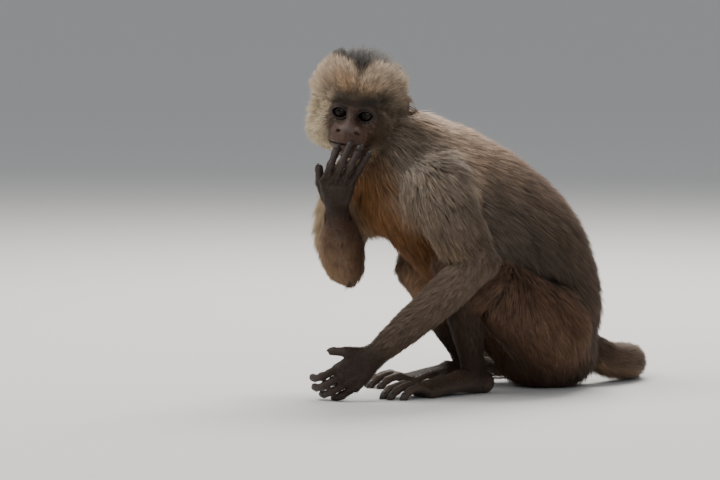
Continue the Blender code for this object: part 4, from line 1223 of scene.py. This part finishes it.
# ------------------------------------------------------------------ nails
def nail(last, tip, radius, face, scale):
    """A narrow curved nail over the end of one digit: a closed shell."""
    d = unit(tip - last)
    side = np.cross(d, face)
    start = tip - d * 0.34 * scale
    us, vs = np.linspace(-1, 1, 9), np.linspace(0, 1, 9)
    shells = []
    for lift in (0.045, -0.03):
        rows = []
        for v in vs:
            wide = 0.74 * radius * (1 - 0.45 * v * v) * (1 if v > 0 else 0.9)
            along = start + d * (0.84 * scale * v - 0.10 * scale * v**3)
            drop = -0.26 * scale * v**2.4
            for u in us:
                arch = radius * (0.97 * math.sqrt(max(1 - (0.72 * u) ** 2, 0.0)) + 0.02)
                edge = 1 - 0.6 * max(abs(u) - 0.6, 0) / 0.4
                rows.append(along + side * (wide * u) + face * (arch + drop + lift * edge - (0.03 if v == 0 else 0)))
        shells.append(np.array(rows))
    verts = np.concatenate(shells)
    m = len(us) * len(vs)
    quads = []
    for i in range(len(vs) - 1):
        for j in range(len(us) - 1):
            a = i * len(us) + j
            quads.append((a, a + 1, a + 1 + len(us), a + len(us)))
            quads.append((m + a, m + a + len(us), m + a + 1 + len(us), m + a + 1))
    rim = [j for j in range(len(us))] + [len(us) * i + len(us) - 1 for i in range(1, len(vs))] + [m - 1 - j for j in range(1, len(us))] + [m - len(us) * (i + 1) for i in range(1, len(vs) - 1)]
    for a, b in zip(rim, rim[1:] + rim[:1]):
        quads.append((b, a, m + a, m + b))
    quads = np.array(quads)
    n = np.cross(verts[quads[0, 1]] - verts[quads[0, 0]], verts[quads[0, 2]] - verts[quads[0, 0]])
    if n @ face < 0:
        quads = quads[:, ::-1]
    shade = np.concatenate([np.repeat(vs, len(us))] * 2)
    c = mix(lin(30, 22, 19) * np.ones((len(verts), 1)), lin(58, 45, 37) * np.ones((len(verts), 1)), step01(shade, 0.78, 1.0))
    return verts, quads, c


bits, base = [], 0
for digit in DIGITS:
    v, f, c = nail(*digit)
    v[:, 2] = np.maximum(v[:, 2], 0.01)
    bits.append((v, f + base, c))
    base += len(v)
nails = mesh_object("nails", np.concatenate([b[0] for b in bits]), np.concatenate([b[1] for b in bits]), NAIL, np.concatenate([b[2] for b in bits]))
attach(nails, "root")


# ------------------------------------------------------------------ coat
def scatter(verts, tris, normals, per_cm2, rng):
    """Roots spread over the skin, evenly, with this density at each vertex."""
    a, b, c = (verts[tris[:, k]] for k in range(3))
    area = np.linalg.norm(np.cross(b - a, c - a), axis=1) / 2
    want = area * per_cm2[tris].mean(axis=1)
    cell = np.floor((a + b + c) / 3 / 0.35).astype(np.int64) + 64
    order = np.lexsort((cell[:, 0], cell[:, 1], cell[:, 2]))
    total = np.cumsum(want[order])
    count = int(total[-1])
    at = (np.arange(count) + rng.random(count)) * total[-1] / count
    pick = order[np.minimum(np.searchsorted(total, at), len(order) - 1)]
    r1, r2 = np.sqrt(rng.random(count)), rng.random(count)
    mixw = np.stack([1 - r1, r1 * (1 - r2), r1 * r2], 1)
    p = np.einsum("ij,ijk->ik", mixw, verts[tris[pick]])
    n = unit(np.einsum("ij,ijk->ik", mixw, normals[tris[pick]]))
    return p, n


def tufts(name, p, n, way, reach, rise, shift, width, tint, uv, rng, bend=0.62, painted_root_shade=0.6, tips=1.2):
    """Closed bent spindles: a root point in the skin, a three-cornered waist and a tip. reach is how far along the
    lay the tip is, rise how high over the skin."""
    count = len(p)
    side = unit(np.cross(n, way))
    root = p - n * 0.06
    waist = p + n * (rise * bend)[:, None] + way * (reach * 0.40)[:, None] + shift * 0.3
    tip = p + n * rise[:, None] + way * reach[:, None] + shift
    axis = unit(tip - root)
    up = unit(np.cross(side, axis))
    up = np.where(((up * n).sum(axis=1) < 0)[:, None], -up, up)
    half = (width / 2)[:, None]
    v = np.stack([root, waist - side * half, waist + side * half, waist + up * half * 0.8, tip], 1)
    v[..., 2] = np.maximum(v[..., 2], 0.012 + 0.02 * rng.random((count, 5)))
    faces = np.array(((0, 2, 1), (0, 1, 3), (0, 3, 2), (4, 1, 2), (4, 3, 1), (4, 2, 3)))
    f = (faces[None] + 5 * np.arange(count)[:, None, None]).reshape(-1, 3)
    # faces wound outwards for every tuft
    t0 = v.reshape(-1, 3)
    mid = v.mean(axis=1)
    fn = np.cross(t0[f[:, 1]] - t0[f[:, 0]], t0[f[:, 2]] - t0[f[:, 0]])
    out = (fn * (t0[f].mean(axis=1) - np.repeat(mid, 6, axis=0))).sum(axis=1) < 0
    f[out] = f[out][:, ::-1]
    # painted shade: each tuft darkens towards its root, deep in the coat; the waist's sides are a little darker than
    # its raised ridge, and the tip is lighter
    shade = np.stack([tint * painted_root_shade, tint * 0.9, tint * 0.9, tint * 1.02, tint * tips], 1)
    patch = 0.003 * np.array(((0.5, 0.0), (0.0, 0.45), (1.0, 0.45), (0.5, 0.5), (0.5, 1.0)))
    where = uv[:, None, :] + patch[None]
    obj = mesh_object(name, t0, f, FUR, shade.reshape(-1, 3), where.reshape(-1, 2))
    soft = v * 0
    soft[:, 0] = n
    soft[:, 1] = n * 0.75 - side * 0.42
    soft[:, 2] = n * 0.75 + side * 0.42
    soft[:, 3] = n * 0.6 + up * 0.55
    soft[:, 4] = n * 0.8 + way * 0.25
    obj.data.normals_split_custom_set_from_vertices(unit(soft).reshape(-1, 3).astype(np.float32))
    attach(obj, "root")
    return obj


def unwrap(p, zone_name):
    """Each root's place on an unwrap of the skin round its bone, 0..1."""
    if zone_name == "head":
        q = to_head(p) - (0, 0.5, 0)
        r = np.maximum(np.linalg.norm(q, axis=1), 1e-6)
        u = np.arctan2(q[:, 0], -q[:, 1]) / (2 * math.pi) + 0.5
        v = 0.5 + np.arcsin(np.clip(q[:, 2] / r, -1, 1)) / math.pi
        return np.stack([u, v], 1) * 0.99 + 0.003
    if zone_name.startswith(("hand", "foot")):
        at, along, across = FRAMES[zone_name]
        other = np.cross(along, across)
        q = p - at
        s = np.clip(((q @ along) + 2) / 13, 0, 1)
        angle = np.arctan2(q @ across, q @ other - 0.3)
        return np.stack([s, angle / (2 * math.pi) + 0.5], 1) * 0.99 + 0.003
    k = ZONE[zone_name]
    bone = BONES[k]
    d, seg, t = bone.nearest(p)
    s = (BONE_START[k][seg] + t * (BONE_START[k][seg + 1] - BONE_START[k][seg])) / BONE_START[k][-1]
    axis = bone.along[seg]
    near = bone.a[seg] + t[:, None] * (bone.b[seg] - bone.a[seg])
    off = p - near
    # past the ends of the bone the place still runs on
    s = s + (off * axis).sum(axis=1) / BONE_START[k][-1] * ((s <= 0.001) | (s >= 0.999))
    ref = np.array((1.0, 0, 0)) if zone_name in ("trunk", "neck") else np.array((0, 0, 1.0)) if zone_name == "tail" else np.array((1.0, 0.2, 0))
    e1 = unit(np.cross(axis, ref))
    e2 = np.cross(axis, e1)
    angle = np.arctan2((off * e1).sum(axis=1), (off * e2).sum(axis=1))
    return np.stack([np.clip(0.15 + 0.7 * s, 0, 1), angle / (2 * math.pi) + 0.5], 1) * 0.99 + 0.003


DENSITY = {"trunk": 96, "neck": 112, "head": 400, "tail": 100}
per = np.zeros(len(verts))
for name, k in ZONE.items():
    value = DENSITY.get(name, 105 if name[:5] in ("upper", "thigh") else 162 if name[:4] in ("fore", "shin") else 78)
    per += weights[:, k] * value
border = face_border(q)
headness = weights[:, ZONE["head"]]
inner = 1 - step01(border, -0.25, 0.25)
per = per * (1 - headness * inner * 0.80)
lidgap = np.minimum(almond(*lid_axes(q, 1)), almond(*lid_axes(q, -1)))
per = np.where((q[:, 1] < -1.2) & (headness > 0.3) & (lidgap < 0.30), 0, per)
muzzle = (headness > 0.3) & (q[:, 1] < -3.7) & (np.abs(q[:, 0]) < 1.3) & (q[:, 2] < -0.7)
on_lip = (np.abs(q[:, 2] - mouth_height(q[:, 0])) > 0.16) & (q[:, 2] < -1.95)
per = np.where(muzzle, np.where(on_lip, 55, 0), per)
ear_near = np.minimum.reduce([np.linalg.norm((q - (3.82 * s, 0.95, -0.05)) / (0.95, 1.05, 1.45), axis=1) for s in (1, -1)]) < 1
per = np.where(ear_near, 0, per)
digit_zone = weights[:, ZONE["hand_l"]] + weights[:, ZONE["hand_r"]] + weights[:, ZONE["foot_l"]] + weights[:, ZONE["foot_r"]]
# hands and feet: hair on the back only
for side in "lr":
    wrist, along, back = FRAMES["hand_" + side]
    palm = weights[:, ZONE["hand_" + side]] * (step01(-(normals @ back), -0.1, 0.3) + step01((verts - wrist) @ along, 3.6, 4.6))
    per = per * (1 - np.clip(palm, 0, 1))
    heel, ahead, outward = FRAMES["foot_" + side]
    sole = weights[:, ZONE["foot_" + side]] * (step01(-normals[:, 2], -0.1, 0.3) + step01((verts - heel) @ ahead, 6.2, 7.6))
    per = per * (1 - np.clip(sole, 0, 1))
for _, tip, _, _, _ in DIGITS:
    per = np.where(np.linalg.norm(verts - tip, axis=1) < 1.5, 0, per)
per = np.where(verts[:, 2] < 0.05, 0, per)

root_p, root_n = scatter(verts, tris, normals, per, RNG)
rw, rplace, rdepth, rlay, rq = lay_of(root_p, root_n)
tint = coat_colour(root_p, root_n, rw, rplace, rq)
count = len(root_p)
vary = RNG.normal(0, 1, (count, 4))
lock = noise(root_p, 0.55, 41)
tint = tint * (1 + 0.13 * vary[:, :1] + 0.10 * lock[:, None]) * (1 + 0.03 * vary[:, 1:2] * np.array((1, 0, -1)))
grey = np.clip(RNG.random(count) - 0.93, 0, 1)[:, None] * 6
tint = np.clip(tint * (1 + grey), 0.004, 0.9)
hz = ZONE["head"]
hw = rw[:, hz]
# how much of the depth a tuft rises and how far it reaches along the lay
lean = 1.75 * (1 - hw) + hw * (0.55 + 0.95 * step01(rq[:, 1], 0.0, 3.0))
edge = face_border(rq)
grown_in = np.where(hw > 0.25, step01(edge, -0.15, 1.7), 1.0)
grown_in = hw * grown_in + (1 - hw)
face_fuzz = hw * (1 - step01(edge, -0.2, 0.1))
c = rdepth * grown_in + 0.10 * hw * (1 - grown_in)
c = np.maximum(c, 0.05)
down = (hw > 0.3) & (rq[:, 1] < -3.4) & (np.abs(rq[:, 0]) < 1.6) & (rq[:, 2] < -1.3)
c = np.where(down, 0.035, c)
fringe = np.exp(-(np.linalg.norm((root_p - (6.6, -3.1, 14.2)) / (2.0, 1.8, 2.0), axis=1) ** 2)) * step01(-root_n[:, 2] - 0.3 * root_n[:, 1], 0.0, 0.6)
fringe_r = np.exp(-(np.linalg.norm((root_p - (-5.6, -8.3, 14.2)) / (2.2, 2.2, 3.0), axis=1) ** 2)) * step01(-root_n[:, 1] - 0.4 * root_n[:, 0], 0.1, 0.7)
stray = (RNG.random(count) < 0.09) * hw
high = c * (0.78 + 0.24 * RNG.random(count) + 0.08 * lock + 0.34 * stray)
high = high * (1 - 0.55 * (RNG.random(count) < 0.30) * RNG.random(count))
reach = c * lean * (0.9 + 0.3 * RNG.random(count)) + 0.10 + 0.16 * face_fuzz
# pale wisps outside the raised arm's shoulder
wisp = np.exp(-(np.linalg.norm((root_p - (-5.3, -9.4, 18.9)) / (1.9, 1.7, 2.6), axis=1) ** 2)) * step01(-(root_n @ np.array((0.42, 0.91, 0.0))), 0.1, 0.6) * (1 - hw)
wisp = wisp * (0.4 + 0.6 * RNG.random(count))
high = high + 0.4 * fringe + 0.5 * wisp
reach = reach * (1 - 0.4 * fringe * RNG.random(count)) + 0.7 * fringe * RNG.random(count) ** 2 + 0.35 * fringe_r + 0.3 * wisp
# where the head's coat meets the neck's, and round the ears, it is lower and lies closer
join = np.clip(4 * hw * (1 - hw), 0, 1)
ear_gap = np.minimum.reduce([np.linalg.norm(rq - (3.6 * s, 1.2, -0.3), axis=1) for s in (1, -1)])
by_ear = hw ** 0.5 * (1 - step01(ear_gap, 1.5, 2.6)) * step01(rq[:, 1], 0.4, 1.2)
high = high * (1 - 0.4 * join) * (1 - 0.6 * by_ear)
reach = reach * (1 - 0.35 * by_ear)
paws = rw[:, ZONE["hand_l"]] + rw[:, ZONE["hand_r"]] + rw[:, ZONE["foot_l"]] + rw[:, ZONE["foot_r"]]
high = high * (1 - 0.45 * paws)
cuff = sum(rw[:, ZONE[z]] * step01(rplace[:, ZONE[z]], 0.62, 1.0) for z in ("upper_l", "upper_r"))
high = high * (1 - 0.5 * cuff)
# a few longer guard hairs
guard = (RNG.random(count) < 0.05) * (1 - hw) * (c > 0.35)
high = high * (1 + 0.3 * guard)
reach = reach * (1 + 0.25 * guard)
tint = mix(tint, lin(170, 145, 112) * np.ones((count, 1)), 0.3 * fringe + 0.6 * fringe_r + 0.7 * wisp)
swirl = noise3(root_p, 1.3, 61) * 0.22 + noise3(root_p, 0.45, 71) * 0.16 + vary[:, 1:4] * 0.13
way = rlay + swirl - ((rlay + swirl) * root_n).sum(axis=1, keepdims=True) * root_n
way = unit(way)
# under the raised elbow the hair draws to a point
from_elbow = root_p - (-6.4, -7.5, 11.1)
far = np.linalg.norm(from_elbow, axis=1)
near_elbow = (1 - step01(far, 1.7, 3.0)) * step01(-from_elbow[:, 2] / np.maximum(far, 1e-6), -0.3, 0.5) * (rw[:, ZONE["upper_r"]] + rw[:, ZONE["fore_r"]])
draw = np.array((-6.0, -6.93, 9.0)) - root_p
way = unit(mix(way, unit(draw - (draw * root_n).sum(axis=1, keepdims=True) * root_n + 1e-6), 0.85 * near_elbow))
outer_side = step01(-(root_n @ np.array((0.42, 0.91, 0.0))), 0.0, 0.7)
low_cut = 1 - 0.6 * near_elbow * outer_side
ring = rw[:, ZONE["fore_r"]] * step01(rplace[:, ZONE["fore_r"]], 0.5, 0.7)
high = high * low_cut * (1 - 0.55 * ring)
reach = reach * (1 - 0.45 * ring) + 0.25 * near_elbow * (1 - outer_side)
limbs = sum(rw[:, ZONE[z + side]] for z in ("fore_", "shin_") for side in "lr")
wide = (0.068 * (1 - hw) + 0.038 * hw - 0.013 * limbs) * (0.8 + 0.4 * RNG.random(count))
reach = np.where(down, 0.10 + 0.06 * RNG.random(count), reach)
wide = np.where((c < 0.3) | (ring > 0.3), 0.038 + 0 * wide, wide)
# locks: neighbouring tufts lean to one tip and share a shade
seeds = np.nonzero(RNG.random(count) < 0.09)[0]
tree = KDTree(len(seeds))
for j, point in enumerate(root_p[seeds]):
    tree.insert(point, j)
tree.balance()
seed = seeds[np.array([tree.find(point)[1] for point in root_p])]
gap = root_p[seed] - root_p
close = (np.linalg.norm(gap, axis=1) < 0.7) & ((root_n * root_n[seed]).sum(axis=1) > 0.3) & (c > 0.25)
under = RNG.random(count) < 0.22
pull_in = np.where(close & ~under & (join < 0.5) & (by_ear < 0.3), 0.2 + 0.42 * RNG.random(count)[seed], 0.0) * (1 - 0.3 * hw) * (1 - 0.4 * rw[:, ZONE["tail"]])
reach = np.minimum(reach, 2.1 - 0.7 * hw)
high = np.minimum(high, 2.0 - 0.3 * hw)
tip_of = root_p + root_n * high[:, None] + way * reach[:, None]
to_tip = np.where(pull_in[:, None] > 0, (tip_of[seed] - tip_of) * pull_in[:, None], 0)
shade_of = np.clip(RNG.normal(0, 1, count)[seed], -2, 2) * (0.17 - 0.02 * hw - 0.07 * limbs)
tint = tint * (1 + np.where(close, shade_of, 0))[:, None]
tint = tint * np.where(RNG.random(count) < 0.07, 1.45, 1.0)[:, None]
high = np.where(under, high * 0.62, high)
wide = np.where(down, 0.014, wide * (1 - 0.35 * guard))
tint = mix(tint, lin(120, 98, 82) * np.ones((count, 1)), 0.8 * down)
zone_of = rw.argmax(axis=1)
groups = {
    "coat_head": ["head"], "coat_trunk": ["trunk", "neck"], "coat_arm_l": ["upper_l", "fore_l", "hand_l"], "coat_arm_r": ["upper_r", "fore_r", "hand_r"],
    "coat_leg_l": ["thigh_l", "shin_l", "foot_l"], "coat_leg_r": ["thigh_r", "shin_r", "foot_r"], "coat_tail": ["tail"],
}
made = 0
for name, zones in groups.items():
    mine = np.nonzero(np.isin(zone_of, [ZONE[z] for z in zones]))[0]
    if not len(mine):
        continue
    key = rq[mine, 0] if name == "coat_head" else root_p[mine, 0]
    mine = mine[np.argsort(key, kind="stable")]
    pieces = int(math.ceil(len(mine) / 33000))
    for j, part in enumerate(np.array_split(mine, pieces)):
        uv = np.zeros((len(part), 2))
        for order, z in enumerate(zones):
            own = zone_of[part] == ZONE[z]
            # each bone of a piece has its own strip of the map
            uv[own] = (unwrap(root_p[part[own]], z) + (order, 0)) / (len(zones), 1) if own.any() else 0
        uv = np.clip(uv, 0.001, 0.996)
        label = name if pieces == 1 else name + "_" + "abcdefgh"[j]
        tufts(label, root_p[part], root_n[part], way[part], reach[part], high[part], to_tip[part], wide[part], tint[part], uv, RNG)
        made += len(part)
print("tufts", made, "coat triangles", made * 6, "skin triangles", len(tris))

# ------------------------------------------------------------------ floor, light, camera
bpy.ops.mesh.primitive_circle_add(vertices=96, radius=30, fill_type="NGON", location=(0, 0, 0))
floor = bpy.context.object
floor.name = "floor"
floor.data.materials.append(floor_material())

world = bpy.data.worlds.new("studio")
bpy.context.scene.world = world
world.use_nodes = True
world.node_tree.nodes["Background"].inputs["Color"].default_value = (0.86, 0.89, 0.93, 1)
world.node_tree.nodes["Background"].inputs["Strength"].default_value = 0.42

B = np.array((0.9041, -0.4216, 0.0698))
R = np.array((0.4226, 0.9063, 0.0))
W = np.array((-0.0632, 0.0295, 0.9976))
centre = (-8.1 * R + 13.5 * W + SHIFT) * 0.01


def lamp(name, offset, size, power, colour=(1, 1, 1)):
    data = bpy.data.lights.new(name, "AREA")
    data.shape, data.size, data.size_y = "RECTANGLE", size[0], size[1]
    data.energy, data.color = power, colour
    obj = bpy.data.objects.new(name, data)
    at = Vector(centre + offset)
    obj.location = at
    obj.rotation_euler = (Vector(centre) - at).to_track_quat("-Z", "Y").to_euler()
    bpy.context.scene.collection.objects.link(obj)


lamp("key", -R * 1.25 + B * 0.35 + np.array((0, 0, 1.75)), (1.5, 1.5), 40, (1.0, 0.98, 0.95))
lamp("fill", B * 1.8 + R * 0.5 + np.array((0, 0, 0.7)), (1.6, 1.2), 9, (0.95, 0.98, 1.0))
lamp("rim", -B * 1.4 + R * 0.45 + np.array((0, 0, 1.7)), (1.4, 0.9), 62, (1.0, 0.96, 0.9))

cam = bpy.data.cameras.new("camera")
cam.sensor_width = 36
cam.lens = 36 * 400 / 64.8
cam.clip_end = 200
camera = bpy.data.objects.new("camera", cam)
camera.location = Vector(centre + B * 4.0)
camera.rotation_euler = Matrix((Vector(R), Vector(W), Vector(B))).transposed().to_euler()
bpy.context.scene.collection.objects.link(camera)
bpy.context.scene.camera = camera
